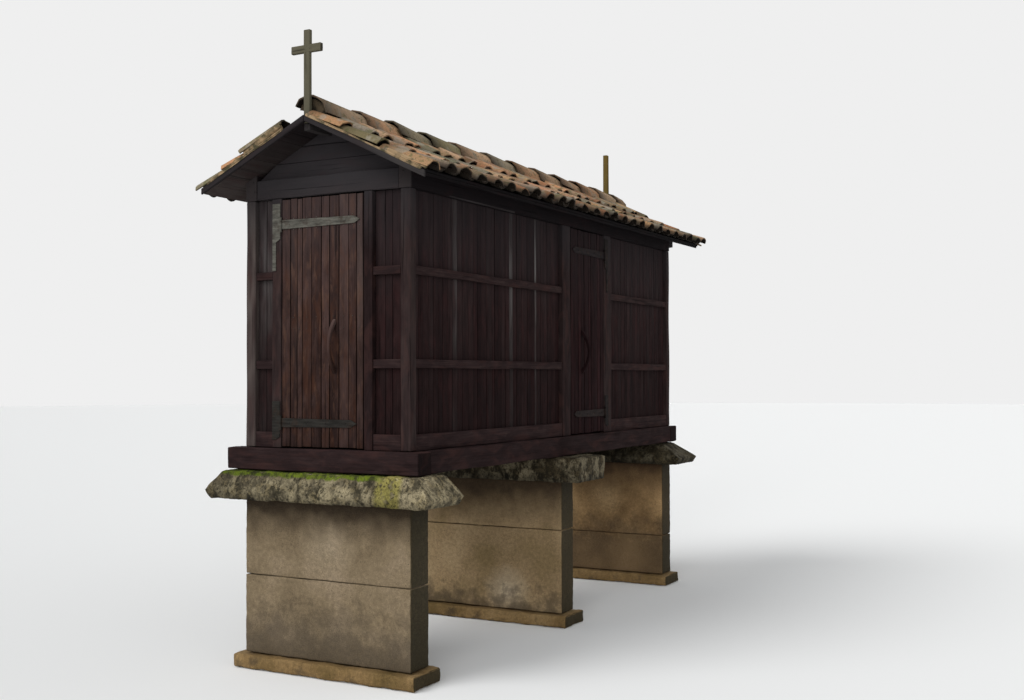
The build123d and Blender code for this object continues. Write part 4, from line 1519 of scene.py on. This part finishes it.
@dataclass(kw_only=True)
class BoardedDoor(Craft):
    """A door leaf of upright boards on three ledges, with nailed straps and a carved bow pull."""

    frame: dict
    body: Body
    tone: float
    wear: float
    boards: int = 10
    leaf_thickness: float = 0.025
    ledge_thickness: float = 0.024
    ledge_height: float = 0.110
    ledge_inset: float = 0.033
    ledge_levels: tuple[float, ...] = (1.856, 2.598, 3.340)
    joint: float = 0.005
    nail_radius: float = 0.0035
    nail_offset: float = 0.042
    strap_nail_radius: float = 0.0075
    strap_nail_shares: tuple[float, ...] = (0.12, 0.34, 0.58, 0.82)
    pull_width: float = 0.030
    pull_reach: Pair = (0.078, 0.056)
    pull_half: Pair = (0.200, 0.155)
    pull_stations: int = 21
    pull_ease: float = 0.25

    def __post_init__(self) -> None:
        """Starts the source of the unevenness, and notes the axis that the leaf faces and its outer side."""
        super().__post_init__()
        self.front = self.body is Body.FRONT_DOOR
        self.fixed, self.free, self.outward = (1, 0, -1) if self.front else (0, 1, 1)
        self.wood = Finish.DOOR if self.front else Finish.SIDE_DOOR
        self.iron = Finish.FRONT_IRON if self.front else Finish.SIDE_IRON

    def build(self) -> None:
        """Builds the leaf, nails and pull, and dresses the straps."""
        rng, name, fixed, free = self.rng, self.body.value, self.fixed, self.free
        low, high = box_of(name)
        edges = low[free] + (high[free] - low[free]) * uneven_shares(rng, self.boards, 0.35)
        joints = rng.uniform(0.1, 1.0, self.boards + 1) * self.joint
        joints[[0, -1]] = 0
        bottom = low[2] + rng.uniform(0, 0.006, self.boards)
        top = high[2] - rng.uniform(0, 0.006, self.boards)
        face = low[1] if self.front else high[0]
        leaf = Wall(name, fixed, face, -self.outward)
        along = edges[:-1] + joints[:-1] / 2, edges[1:] - joints[1:] / 2
        corners = leaf.boxes(rng.uniform(0, 0.003, self.boards), self.leaf_thickness, along, (bottom, top))
        tones = rng.normal(self.tone, 0.14, self.boards).clip(0.1, 0.95)
        wears = rng.uniform(0, 1, self.boards) ** 2 * self.wear
        working = Working(0.003, 0.003, 0.3, grimy=(0.9, 0.0) if self.front else (0.0, 0.9))
        planks = squared(rng, *corners, Grain.UPRIGHT, working, tones, wears)
        levels = np.array(self.ledge_levels)
        levels = levels - self.ledge_height / 2, levels + self.ledge_height / 2
        along = low[free] + self.ledge_inset, high[free] - self.ledge_inset
        corners = leaf.boxes(self.leaf_thickness, self.leaf_thickness + self.ledge_thickness, along, levels)
        surface = joined([planks, squared(rng, *corners, Grain(free), SAWN)])
        make_piece(f"{name}_boards", surface, self.wood, (name,), body=self.body)
        self.nails(face, (edges[:-1] + edges[1:]) / 2)
        self.pull(face)
        dress_node(self.frame, f"{name}_straps", self.iron)

    def nail_rows(self, places: Array, levels: list | tuple, depth: float, radius: float, rise: float) -> Surface:
        """Drives a nail at each place on each level.

        Args:
            places: Distances along the leaf.
            levels: Heights.
            depth: Where the nails' feet lie on the axis that the leaf faces.
            radius: Radius of the heads.
            rise: Height of the heads.

        Returns:
            The heads.
        """
        centres = np.empty((len(levels), len(places), 3))
        centres[..., self.free], centres[..., 2], centres[..., self.fixed] = places, np.array(levels)[:, None], depth
        outward = self.outward * np.eye(3)[self.fixed]
        return domes(centres.reshape(-1, 3), outward, radius, rise)

    def nails(self, face: float, middles: Array) -> None:
        """Drives two nails through each board into each ledge, and four through each strap.

        Args:
            face: Where the leaf's outer face lies.
            middles: Middle line of each board.
        """
        offset = self.nail_offset
        levels = [level + side for level in self.ledge_levels for side in (-offset, offset)]
        small = self.nail_rows(middles, levels, face - self.outward * 0.001, self.nail_radius, 0.0025)
        low, high = box_of(f"{self.body.value}_straps")
        run = (high - low)[self.free] * np.array(self.strap_nail_shares)
        run = low[self.free] + run if self.front else high[self.free] - run
        levels = self.ledge_levels[::2]
        large = self.nail_rows(run, levels, face + self.outward * 0.006, self.strap_nail_radius, 0.004)
        make_piece(f"{self.body.value}_nails", joined([small, large]), self.iron, body=self.body)

    def pull(self, face: float) -> None:
        """Builds the bow pull: a bar between two circle arcs that meet the leaf.

        An arc of half chord h and rise r has the radius (h * h + r * r) / (2 * r), and its points lie at
        radius * (cosine - 1) + r outwards and radius * sine upwards.

        Args:
            face: Where the leaf's outer face lies.
        """
        node = f"{self.body.value}_pull"
        low, high = box_of(node)
        centre = (low + high) / 2
        turn = np.linspace(-1, 1, self.pull_stations)
        sides = []
        for rise, half in zip(self.pull_reach, self.pull_half):
            radius = (half * half + rise * rise) / (2 * rise)
            angle = turn * math.asin(half / radius)
            sides.append(np.stack([radius * (np.cos(angle) - 1) + rise, radius * np.sin(angle)], axis=1))
        outer, inner = sides
        ease = self.pull_ease
        share = np.array([0, ease, 1 - ease, 1, 1, 1 - ease, ease, 0])
        across = np.array([1 - ease, 1, 1, 1 - ease, ease - 1, -1, -1, ease - 1]) * self.pull_width / 2
        waist = 1 - 0.14 * np.cos(turn * np.pi / 2) ** 2 + 0.03 * np.sin(turn * 7 + 1)
        place = outer[:, None, :] + (inner - outer)[:, None, :] * share[None, :, None]
        rings = np.zeros((1, self.pull_stations, len(share), 3))
        rings[0, :, :, self.fixed] = face + self.outward * place[..., 0]
        rings[0, :, :, 2] = centre[2] + place[..., 1]
        rings[0, :, :, self.free] = centre[self.free] - self.outward * across * waist[:, None]
        along = outer[None, :, 1] + self.rng.uniform(0, 20)
        around = np.linspace(0, 0.12, len(share) + 1)[None, :]
        # The side pull's dark tone is painted shade; the front pull pales towards its top as a painted highlight and
        # darkens towards its foot as painted shade.
        surface = skinned(rings[:, :, ::-1], along, around, [0.9 if self.front else 0.1], [0.0])
        if self.front:
            rise = (surface.points[:, 2] - centre[2]) / self.pull_half[0]
            surface.wear[:] = (rise * 1.2 - 0.1).clip(0, 1)
            surface.grime[:] = (-rise * 0.8).clip(0, 0.7)
        make_piece(f"carved_{node}", surface, self.wood, (node,), 50, self.body)


# Roof


@dataclass(kw_only=True)
class RoofTimber(Craft):
    """Decks of wide boards on both slopes, barge boards on the verges, and the ridge beam."""

    seed: int = 303
    deck_thickness: float = 0.022
    deck_reach: Pair = (0.970, 0.957)
    deck_start: float = 0.002
    deck_short: float = 0.011
    deck_gap: float = 0.0005
    deck_verge: float = 2.785
    deck_rows: int = 8
    barge_thickness: float = 0.022
    barge_reach: Pair = (0.972, 1.027)
    barge_inset: float = 0.001
    rear_reach: float = 0.945
    barge_height: float = 0.0433
    bleach_from: Pair = (0.22, 0.42)
    beam_drop: float = 0.012

    def build(self) -> None:
        """Builds the decks, barge boards and ridge beam."""
        for side, reach in zip(Side, self.deck_reach):
            self.deck(side, reach)
        self.barges()
        low, high = box_of("ridge_beam")
        beam = squared(self.rng, low, high - (0, 0, self.beam_drop), Grain.LENGTHWISE, SAWN, 0.6, 0.9)
        make_piece("sawn_ridge_beam", beam, Finish.ROOF, ("ridge_beam",))

    def deck(self, side: Side, reach: float) -> None:
        """Builds the boards of one deck, laid along the roof.

        Args:
            side: The slope.
            reach: How far it goes from the middle.
        """
        down, across, out = LAYOUT.roof_axes(side)
        rows = self.deck_rows
        edges = np.linspace(self.deck_start, reach / LAYOUT.slope_cos - self.deck_short, rows + 1)
        start = np.array([0.0, side.value * self.deck_verge, LAYOUT.apex])
        corners = start + (edges[:-1] + self.deck_gap)[:, None] * down
        widths = np.diff(edges) - 2 * self.deck_gap
        sizes = np.stack([np.full(rows, 2 * self.deck_verge), widths, np.full(rows, self.deck_thickness)], axis=1)
        tone = self.rng.uniform(0.4, 0.6, rows)
        surface = timbers(sizes, corners, (-across, down, out), DECKING, self.rng, tone, 0.1)
        name = f"roof_deck_{side.name.lower()}"
        finish = Finish.EAVES if side is Side.RIGHT else Finish.SOFFIT
        make_piece(f"boarded_{name}", surface, finish, (name,))

    def barges(self) -> None:
        """Builds the four barge boards, cut upright at both ends."""
        tangent = math.tan(math.radians(LAYOUT.slope_deg))
        parts = []
        for side, front_reach in zip(Side, self.barge_reach):
            down, across, out = LAYOUT.roof_axes(side)
            rear = self.deck_verge + self.barge_thickness
            for y, reach in ((-self.deck_verge, front_reach), (rear, self.rear_reach)):
                start = y if side is Side.RIGHT else y - self.barge_thickness
                inset = self.barge_inset / LAYOUT.slope_cos
                size = (reach / LAYOUT.slope_cos - inset, self.barge_height, self.barge_thickness)
                corner = np.array([0.0, start, LAYOUT.apex]) + inset * down
                tone, pale = (0.6, 0.7) if side is Side.RIGHT and y < 0 else (0.2, 0.0)
                cuts = np.full((1, 2), -tangent)
                board = timbers(size, corner, (down, out, -across), SAWN, self.rng, tone, pale, cuts)
                bleached, full = self.bleach_from
                board.wear *= ((np.abs(board.points[:, 0]) - bleached) / (full - bleached)).clip(0, 1)
                board.grime[:] = np.maximum(board.grime, 0.3 if side is Side.LEFT else 0.0)
                parts.append(board)
        make_piece("sawn_barge_boards", joined(parts), Finish.ROOF, ("barge_boards",))


@dataclass(kw_only=True)
class TileSlope(Craft):
    """Curved clay tiles in lapped courses on one slope: channels below, covers over their joints."""

    side: Side
    eave_lift: float
    verge_courses: tuple[tuple[float, float, float, float], ...]
    verge_tone: Triple
    verge_fresh: Triple
    rows: int = 26
    pitch: float = 0.21885
    first_row: float = 0.0844
    courses: tuple[Pair, ...] = ((0.006, 0.400), (0.335, 0.775), (0.705, 1.150))
    eave_from: float = 1.1
    cover_radius: Pair = (0.069, 0.0905)
    cover_sink: Pair = (-0.004, -0.0022)
    widest: float = 0.0915
    lap_lift: float = 0.009
    channel_radius: Pair = (0.078, 0.070)
    wall: float = 0.013
    ridge_lift: float = 0.028
    furthest: float = 1.0775
    lath_from_ridge: float = 1.003
    lath_section: Pair = (0.055, 0.024)
    lath_from_verge: float = 0.04
    bead: float = 0.026
    packed: Pair = (0.215, 0.600)

    def __post_init__(self) -> None:
        """Starts the source of the unevenness, and notes which way the slope lies."""
        super().__post_init__()
        self.down, self.across, self.out = LAYOUT.roof_axes(self.side)
        self.ridge_line = LAYOUT.apex + LAYOUT.tile_seat / LAYOUT.slope_cos

    def build(self) -> None:
        """Builds the slope's tiles, the mortar along its verges, and the lath under lifted eaves."""
        name = f"roof_tiles_{self.side.name.lower()}"
        surface = joined([self.covers(), self.channels()])
        reach = np.array([self.furthest, LAYOUT.verge - 0.0005])
        surface.points[:, :2] = surface.points[:, :2].clip(-reach, reach)
        make_piece(f"lapped_{name}", surface, Finish.CLAY, (name,), 38)
        self.mortar()
        if self.eave_lift > 0:
            self.lath()

    def lath(self) -> None:
        """Nails a lath along the deck's edge, which tilts the lowest course."""
        verge = LAYOUT.verge - self.lath_from_verge
        corner = (0.0, self.side.value * verge, LAYOUT.apex) + self.lath_from_ridge * self.down
        corner = corner + LAYOUT.tile_seat * self.out
        axes = (-self.across, self.down, self.out)
        surface = timbers((2 * verge, *self.lath_section), corner, axes, SAWN, self.rng, 0.3)
        make_piece(f"eave_lath_{self.side.name.lower()}", surface, Finish.EAVES)

    def tiles(self, ends: Array, place: Array, lifts: Array, radii: Array, *turn: Array, **more: object) -> Surface:
        """Lays curved tiles on the slope.

        Args:
            ends: Start and end of each tile from the ridge line.
            place: Distance from the front verge at both ends.
            lifts: Height of the arc's centre over the deck at both ends.
            radii: Outer radius at both ends.
            *turn: Half the angle of each arc, and the roll of each tile.
            **more: Tone, weathering and painted shade, as curved_tiles takes them.

        Returns:
            Their surface.
        """
        origin, axes = (0.0, -LAYOUT.verge, self.ridge_line), (self.down, self.across, self.out)
        place = place * self.side.value
        return curved_tiles(ends, place, lifts, radii, self.wall, *turn, origin, axes, rng=self.rng, **more)

    def covers(self) -> Surface:
        """Builds the cover tiles, hollow side down.

        Returns:
            Their surface.
        """
        rng = self.rng
        inner = [(row, *span, 0.0, 0.0) for row in range(1, self.rows) for span in self.courses]
        table = np.array([(0, *span) for span in self.verge_courses] + inner)
        count, at_verge = len(table), len(self.verge_courses)
        row, ends, raised = table[:, 0], table[:, 1:3].copy(), table[:, 3:]
        loose = (row > 0).astype(float)
        at_eave = ends[:, 1] > self.eave_from
        ends[:, 0] += rng.uniform(-0.01, 0.03, count) * loose * (ends[:, 0] > 0.1)
        ends[:, 1] += np.where(at_eave, rng.uniform(-0.024, 0.024, count), rng.uniform(-0.05, 0.03, count)) * loose
        broken = (rng.uniform(size=count) < 0.06) & (loose > 0) & ~at_eave
        ends[:, 1] -= broken * rng.uniform(0.04, 0.10, count)
        place = (self.first_row + row * self.pitch)[:, None] + rng.normal(0, 0.010, (count, 2)) * loose[:, None]
        lifts = raised + self.cover_sink
        lifts[:, 0] += np.where((ends[:, 0] < 0.1) & (row > 0), self.ridge_lift, 0.0)
        lifts[:, 1] += np.where(at_eave, self.eave_lift, self.lap_lift)
        lifts += rng.uniform(-0.002, 0.007, (count, 2)) * loose[:, None]
        radii = self.cover_radius * (1 + rng.normal(0, 0.045, (count, 1)))
        radii[:, 1] = radii[:, 1].clip(max=self.widest)
        tone = rng.uniform(0, 1, count)
        wear = np.where(rng.uniform(size=count) < 0.12, rng.uniform(0.3, 0.7, count), 0.0)
        tone[:at_verge], wear[:at_verge] = self.verge_tone, self.verge_fresh
        half_angle, turned = rng.normal(69, 2.5, count), rng.normal(0, 0.09, count) * loose
        # Painted shade along the covers' flanks, and in the eave covers' mouths.
        flank, mouth = np.where(at_eave, 1.2, 0.8) * loose, np.where(at_eave, 0.25, 0.0) * loose
        return self.tiles(
            ends, place, lifts, radii, half_angle, turned,
            tone=tone, wear=wear, flank_dirt=flank, ragged=0.006, mouth_dirt=mouth,
        )

    def channels(self) -> Surface:
        """Builds the channel tiles, hollow side up.

        Returns:
            Their surface.
        """
        rng = self.rng
        table = np.array([(row, *span) for row in range(self.rows - 1) for span in self.courses])
        count = len(table)
        row, ends = table[:, 0], table[:, 1:].copy()
        at_eave = ends[:, 1] > self.eave_from
        ends[:, 1] += np.where(at_eave, rng.uniform(-0.045, -0.012, count), rng.uniform(-0.01, 0.01, count))
        place = (self.first_row + (row + 0.5) * self.pitch)[:, None] + rng.normal(0, 0.003, (count, 2))
        lifts = np.stack([np.full(count, 0.079), np.where(at_eave, 0.073 + self.eave_lift, 0.084)], axis=1)
        radii = np.broadcast_to(self.channel_radius, (count, 2))
        turned, tone = rng.normal(0, 0.03, count), rng.uniform(0, 0.45, count)
        # The eave channels' mouths get painted shade.
        return self.tiles(
            ends, place, lifts, radii, np.full(count, 60.0), turned,
            tone=tone, hollow_up=True, mouth_dirt=np.where(at_eave, 0.5, 0.0),
        )

    def bead_of(
        self, run: float, stop: float, lift: float, y: float, section: Pair, working: Working = BEAD
    ) -> Surface:
        """Lays one bead of mortar down the slope.

        Args:
            run: Where it starts, from the ridge line.
            stop: Where it ends.
            lift: Height over the deck.
            y: Where its side lies along the roof.
            section: Its height and thickness.
            working: How far it is rounded and wanders.

        Returns:
            Its surface.
        """
        corner = np.array([0.0, y, self.ridge_line]) + run * self.down + lift * self.out
        return timbers((stop - run, *section), corner, (self.down, self.out, -self.across), working, self.rng)

    def mortar(self) -> None:
        """Lays a bead of mortar between the verge tiles and the barge boards, at both verges."""
        parts, thick, side = [], self.bead, self.side.name.lower()
        for end in (-1, 1):
            y = end * (LAYOUT.verge - 0.002 - (0.0 if end * self.side.value > 0 else thick))
            run = 0.20 if self.side is Side.LEFT and end < 0 else 0.012
            parts.append(self.bead_of(run, 1.10 if self.side is Side.RIGHT else 1.0, 0.012, y, (0.026, thick)))
            if self.side is Side.RIGHT and end < 0:
                rounder = replace(BEAD, ease=0.008)
                parts.append(self.bead_of(run + 0.77, run + 1.13, 0.030, y, (0.030, thick), rounder))
        make_piece(f"verge_mortar_{side}", joined(parts), Finish.MORTAR)
        if self.side is Side.LEFT:
            rougher = replace(BEAD, ease=0.010, wander=0.010)
            packing = self.bead_of(*self.packed, 0.034, 0.007 - LAYOUT.verge, (0.050, 0.055), rougher)
            make_piece(f"verge_packing_{side}", packing, Finish.MORTAR)


@dataclass(kw_only=True)
class RidgeCourse(Craft):
    """Wide ridge tiles, each with its broad end lapped over the narrow end of the one before."""

    seed: int = 505
    fronts: tuple[float, ...] = (-2.205, -1.763, -1.297, -0.800, -0.270, 0.205, 0.665, 1.130, 1.590, 2.050)
    front_end: float = -2.738
    finial_front: float = 2.493
    finial_back: float = 2.547
    lap: float = 0.055
    crown: float = 4.2380
    radius: Pair = (0.150, 0.128)
    front_radius: Pair = (0.160, 0.138)
    drop: float = 0.034
    wall: float = 0.015
    half_angle_deg: float = 88.0
    front_angle_deg: float = 70.0
    front_roll: float = -0.255
    plug_places: tuple[tuple[float, float, float, float, float], ...] = (
        (-2.715, -2.640, 0.138, 4.214, 58.0), (2.440, 2.600, 0.128, 4.196, 82.0), (2.730, 2.800, 0.115, 4.178, 82.0),
    )
    plug_right_deg: float = 82.0
    plug_ease: float = 0.010
    bed_from_ridge: float = 0.098
    bed_width: float = 0.045
    bed_heights: Pair = (0.018, 0.074)
    bare_fronts: Pair = (0.16, 0.045)

    def bedding(self) -> None:
        """Lays a bead of dark mortar under both edges of the ridge tiles, which stay bare at the front; its colour is
        painted shade.
        """
        low, high = self.bed_heights
        parts = []
        for side, bare in zip(Side, self.bare_fronts):
            down, across, out = LAYOUT.roof_axes(side)
            start, stop = self.front_end + bare, self.finial_front
            corner = np.array([0.0, start if side is Side.LEFT else stop, LAYOUT.apex])
            corner = corner + self.bed_from_ridge * down + (LAYOUT.tile_seat + low) * out
            size = (stop - start, self.bed_width, high - low)
            parts.append(timbers(size, corner, (-across, down, out), Working(0.012, 0.014, 0.06), self.rng))
        make_piece("ridge_bedding_mortar", joined(parts), Finish.OLD_MORTAR)

    def build(self) -> None:
        """Builds the ridge tiles and the bedding below them."""
        self.bedding()
        rng = self.rng
        starts = np.array([self.front_end, *self.fronts, self.finial_back])
        stops = np.array([*self.fronts, self.finial_front, LAYOUT.verge - 0.001])
        stops[:-2] += self.lap
        count = len(starts)
        radii = self.radius * (1 + rng.normal(0, 0.03, (count, 1)))
        radii[0] = self.front_radius
        angles = self.half_angle_deg + rng.normal(0, 2, count)
        angles[0] = self.front_angle_deg
        roll = rng.normal(0, 0.05, count)
        roll[0] = self.front_roll
        crown = np.tile([self.crown, self.crown - self.drop], (count, 1))
        crown[1:, 0] -= rng.uniform(0.0, 0.010, count - 1)
        crown[-1] -= 0.004
        shift = rng.normal(0, 0.007, (count, 2))
        shift[[0, -1]] = 0
        tone = rng.permutation(np.linspace(0.0, 1.0, count))
        ends, axes = np.stack([starts, stops], axis=1), ((0.0, 1.0, 0.0), (-1.0, 0.0, 0.0), (0.0, 0.0, 1.0))
        # The ridge tiles' flanks get painted shade.
        surface = curved_tiles(
            ends, shift, crown - radii, radii, self.wall, angles, roll, (0.0, 0.0, 0.0), axes, rng, tone,
            flank_dirt=0.35, ragged=0.009,
        )
        surface.points[:, 1] = surface.points[:, 1].clip(-LAYOUT.verge, LAYOUT.verge)
        make_piece("lapped_ridge_tiles", surface, Finish.RIDGE_CLAY, ("ridge_tiles",), 38)
        self.plugs()

    def plugs(self) -> None:
        """Fills both open ends of the ridge and the foot of the post with old mortar.

        Each plug is a stack of half discs, whose rim lies at the radius times the cosine and sine of
        the angle, drawn in at its ends and a little by chance.
        """
        parts, shares, ease = [], np.array([0.9, 1.0, 1.0, 0.9]), self.plug_ease
        for start, stop, radius, crown, left in self.plug_places:
            turn = np.radians(np.linspace(-left, self.plug_right_deg, 11))
            y = np.array([start, start + ease, stop - ease, stop])
            reach = radius * shares[:, None] - self.rng.uniform(0, 0.008, (4, len(turn)))
            along = np.broadcast_to(y[:, None], reach.shape)
            rings = np.stack([reach * np.sin(turn), along, crown - radius + reach * np.cos(turn)], axis=-1)
            around = np.linspace(0, 0.5, len(turn) + 1)[None, :]
            parts.append(skinned(rings[None], y[None, :], around, [0.5], [0.0]))
        make_piece("ridge_end_mortar", joined(parts), Finish.OLD_MORTAR)


@dataclass(kw_only=True)
class RidgeOrnaments(Craft):
    """The plain wooden cross at the front end of the ridge and the plain post near the rear."""

    seed: int = 606
    arm_low: float = 4.5377
    arm_high: float = 4.5967
    upper_half: float = 0.0285
    lower_half: float = 0.027
    overlap: float = 0.01
    working: Working = Working(ease=0.004, wander=0.0015, station=0.07)

    def build(self) -> None:
        """Builds the cross and the post."""
        low, high = box_of("ridge_cross")
        upper, lower, rng = self.upper_half, self.lower_half, self.rng
        x, y = ((-lower, -upper), (lower, upper)), (low[1], high[1])
        shaft = boxes(x, y, ((low[2], self.arm_high - self.overlap), (self.arm_high, high[2])))
        shaft = squared(rng, *shaft, Grain.UPRIGHT, self.working, (0.45, 0.5), 0.2)
        arms = boxes((low[0], high[0]), y, (self.arm_low, self.arm_high))
        cross = joined([shaft, squared(rng, *arms, Grain.ACROSS, self.working, 0.45, 0.2)])
        make_piece("weathered_ridge_cross", cross, Finish.OAK, ("ridge_cross",))
        post = squared(rng, *box_of("ridge_finial"), Grain.UPRIGHT, self.working, 0.55, 0.2)
        make_piece("weathered_ridge_post", post, Finish.FINIAL, ("ridge_finial",))


# Studio


@dataclass(frozen=True)
class SunLamp:
    """A distant soft lamp: where it stands, how strong it is and how wide it looks."""

    name: str
    toward: Triple
    strength: float
    angle_deg: float

    def build(self) -> None:
        """Adds the lamp to the scene."""
        lamp = bpy.data.lights.new(self.name, "SUN")
        lamp.energy = self.strength
        lamp.angle = math.radians(self.angle_deg)
        toward = np.array(self.toward) / np.linalg.norm(self.toward)
        side = np.cross((0.0, 0.0, 1.0), toward)
        side /= np.linalg.norm(side)
        sun = bpy.data.objects.new(self.name, lamp)
        turned = np.stack([side, np.cross(toward, side), toward], axis=1)
        sun.matrix_world = Matrix(turned.tolist()).to_4x4()
        bpy.context.scene.collection.objects.link(sun)


@dataclass
class Studio:
    """A plain pale floor and backdrop, a soft key from the front left and a low fill from the front right."""

    floor_colour: str = "#f3f3f2"
    backdrop: str = "#efefef"
    sky: str = "#e9ebed"
    sky_strength: float = 0.62
    floor_radius: float = 90.0
    lamps: tuple[SunLamp, ...] = (
        SunLamp("soft_key", (-0.40, -0.75, 0.80), 1.35, 35.0), SunLamp("low_fill", (0.42, -0.88, 0.16), 0.85, 40.0)
    )

    def build(self) -> None:
        """Builds the floor, the world and the lamps."""
        turn = np.linspace(0, 2 * np.pi, 64, endpoint=False)
        ring = np.stack([np.cos(turn), np.sin(turn), np.zeros(64)], axis=1)
        mesh = bpy.data.meshes.new("studio_floor")
        mesh.from_pydata((ring * self.floor_radius).tolist(), [], [list(range(64))])
        plain = Shading("pale_studio_floor")
        shader = plain.add("BsdfDiffuse", {"Color": self.floor_colour, "Roughness": 0.5})
        add_node(plain.tree, "OutputMaterial", [shader])
        mesh.materials.append(plain.material)
        floor = bpy.data.objects.new("studio_floor", mesh)
        bpy.context.scene.collection.objects.link(floor)
        floor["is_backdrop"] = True
        self.world()
        for lamp in self.lamps:
            lamp.build()
        LOG.info("studio: floor, world and lamps")

    def world(self) -> None:
        """Lights the scene from the sky, and shows a pale backdrop to the camera and to reflections."""
        world = bpy.data.worlds.new("pale_studio")
        bpy.context.scene.world = world
        world.use_nodes = True
        tree = world.node_tree
        tree.nodes.clear()
        path = add_node(tree, "LightPath")
        seen = path.outputs["Is Camera Ray"]
        for ray in ("Is Glossy Ray", "Is Transmission Ray"):
            seen = add_node(tree, "Math", [seen, path.outputs[ray]], operation="MAXIMUM").outputs[0]
        light = add_node(tree, "Background", {"Color": self.sky, "Strength": self.sky_strength})
        back = add_node(tree, "Background", {"Color": self.backdrop, "Strength": 1.0})
        mixed = add_node(tree, "MixShader", [seen, light.outputs[0], back.outputs[0]])
        add_node(tree, "OutputWorld", [mixed.outputs[0]])


@dataclass
class RoadCamera:
    """The camera at the photograph's place: head height, to the right of the front gable."""

    place: Triple = (5.4094, -9.6427, 2.1939)
    yaw_deg: float = 28.4828
    pitch_deg: float = 1.2782
    roll_rad: float = -0.0025412
    focal_px: float = 1201.63
    frame_px: float = 1024.0
    sensor_mm: float = 36.0

    def build(self) -> None:
        """Makes the camera and sets it as the scene's."""
        yaw, pitch = math.radians(self.yaw_deg), math.radians(self.pitch_deg)
        ahead = np.array([-math.sin(yaw) * math.cos(pitch), math.cos(yaw) * math.cos(pitch), math.sin(pitch)])
        level = np.array([math.cos(yaw), math.sin(yaw), 0.0])
        upright = np.cross(level, ahead)
        turn, lean = math.cos(self.roll_rad), math.sin(self.roll_rad)
        right = turn * level + lean * upright
        top = -lean * level + turn * upright
        data = bpy.data.cameras.new("road_camera")
        data.sensor_fit = "HORIZONTAL"
        data.sensor_width = self.sensor_mm
        data.lens = self.focal_px / self.frame_px * self.sensor_mm
        data.clip_end = 500.0
        camera = bpy.data.objects.new("road_camera", data)
        matrix = Matrix(np.stack([right, top, -ahead], axis=1).tolist()).to_4x4()
        matrix.translation = self.place
        camera.matrix_world = matrix
        bpy.context.scene.collection.objects.link(camera)
        bpy.context.scene.camera = camera


def plain_bounds() -> list[list[float]]:
    """Lowest and highest corner of the whole object, as plain lists."""
    return [[float(value) for value in corner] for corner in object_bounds()]


def main() -> list[list[float]]:
    """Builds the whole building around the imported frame.

    Returns:
        The CAD model's box, as measured before anything was added.
    """
    logging.basicConfig(level=logging.INFO, format="%(name)s: %(message)s")
    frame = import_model()
    cad_box = plain_bounds()
    bpy.context.scene.view_settings.view_transform = "Standard"
    StoneSupports().build()
    timber = TimberFrame(frame=frame)
    timber.build()
    WallBoards(frame=timber).build()
    BoardedDoor(frame=frame, body=Body.FRONT_DOOR, seed=401, tone=0.62, wear=0.45).build()
    BoardedDoor(frame=frame, body=Body.SIDE_DOOR, seed=402, tone=0.24, wear=0.1).build()
    dress_node(frame, "door_hinge_leaves", Finish.FRONT_IRON)
    RoofTimber().build()
    TileSlope(
        side=Side.LEFT,
        seed=701,
        eave_lift=0.0,
        verge_courses=((0.205, 0.625, 0.054, 0.030), (0.560, 0.830, 0.010, 0.006), (0.740, 1.108, 0.0, 0.0)),
        verge_tone=(0.27, 0.36, 0.25),
        verge_fresh=(0.0, 0.05, 0.1),
    ).build()
    TileSlope(
        side=Side.RIGHT,
        seed=702,
        eave_lift=0.034,
        verge_courses=((0.006, 0.350, 0.004, 0.004), (0.300, 0.690, 0.004, 0.004), (0.700, 1.150, 0.0, -0.010)),
        verge_tone=(0.16, 0.62, 0.85),
        verge_fresh=(0.35, 0.1, 0.5),
    ).build()
    RidgeCourse().build()
    RidgeOrnaments().build()
    Studio().build()
    RoadCamera().build()
    return cad_box


if __name__ == "__main__":
    box_at_load = main()
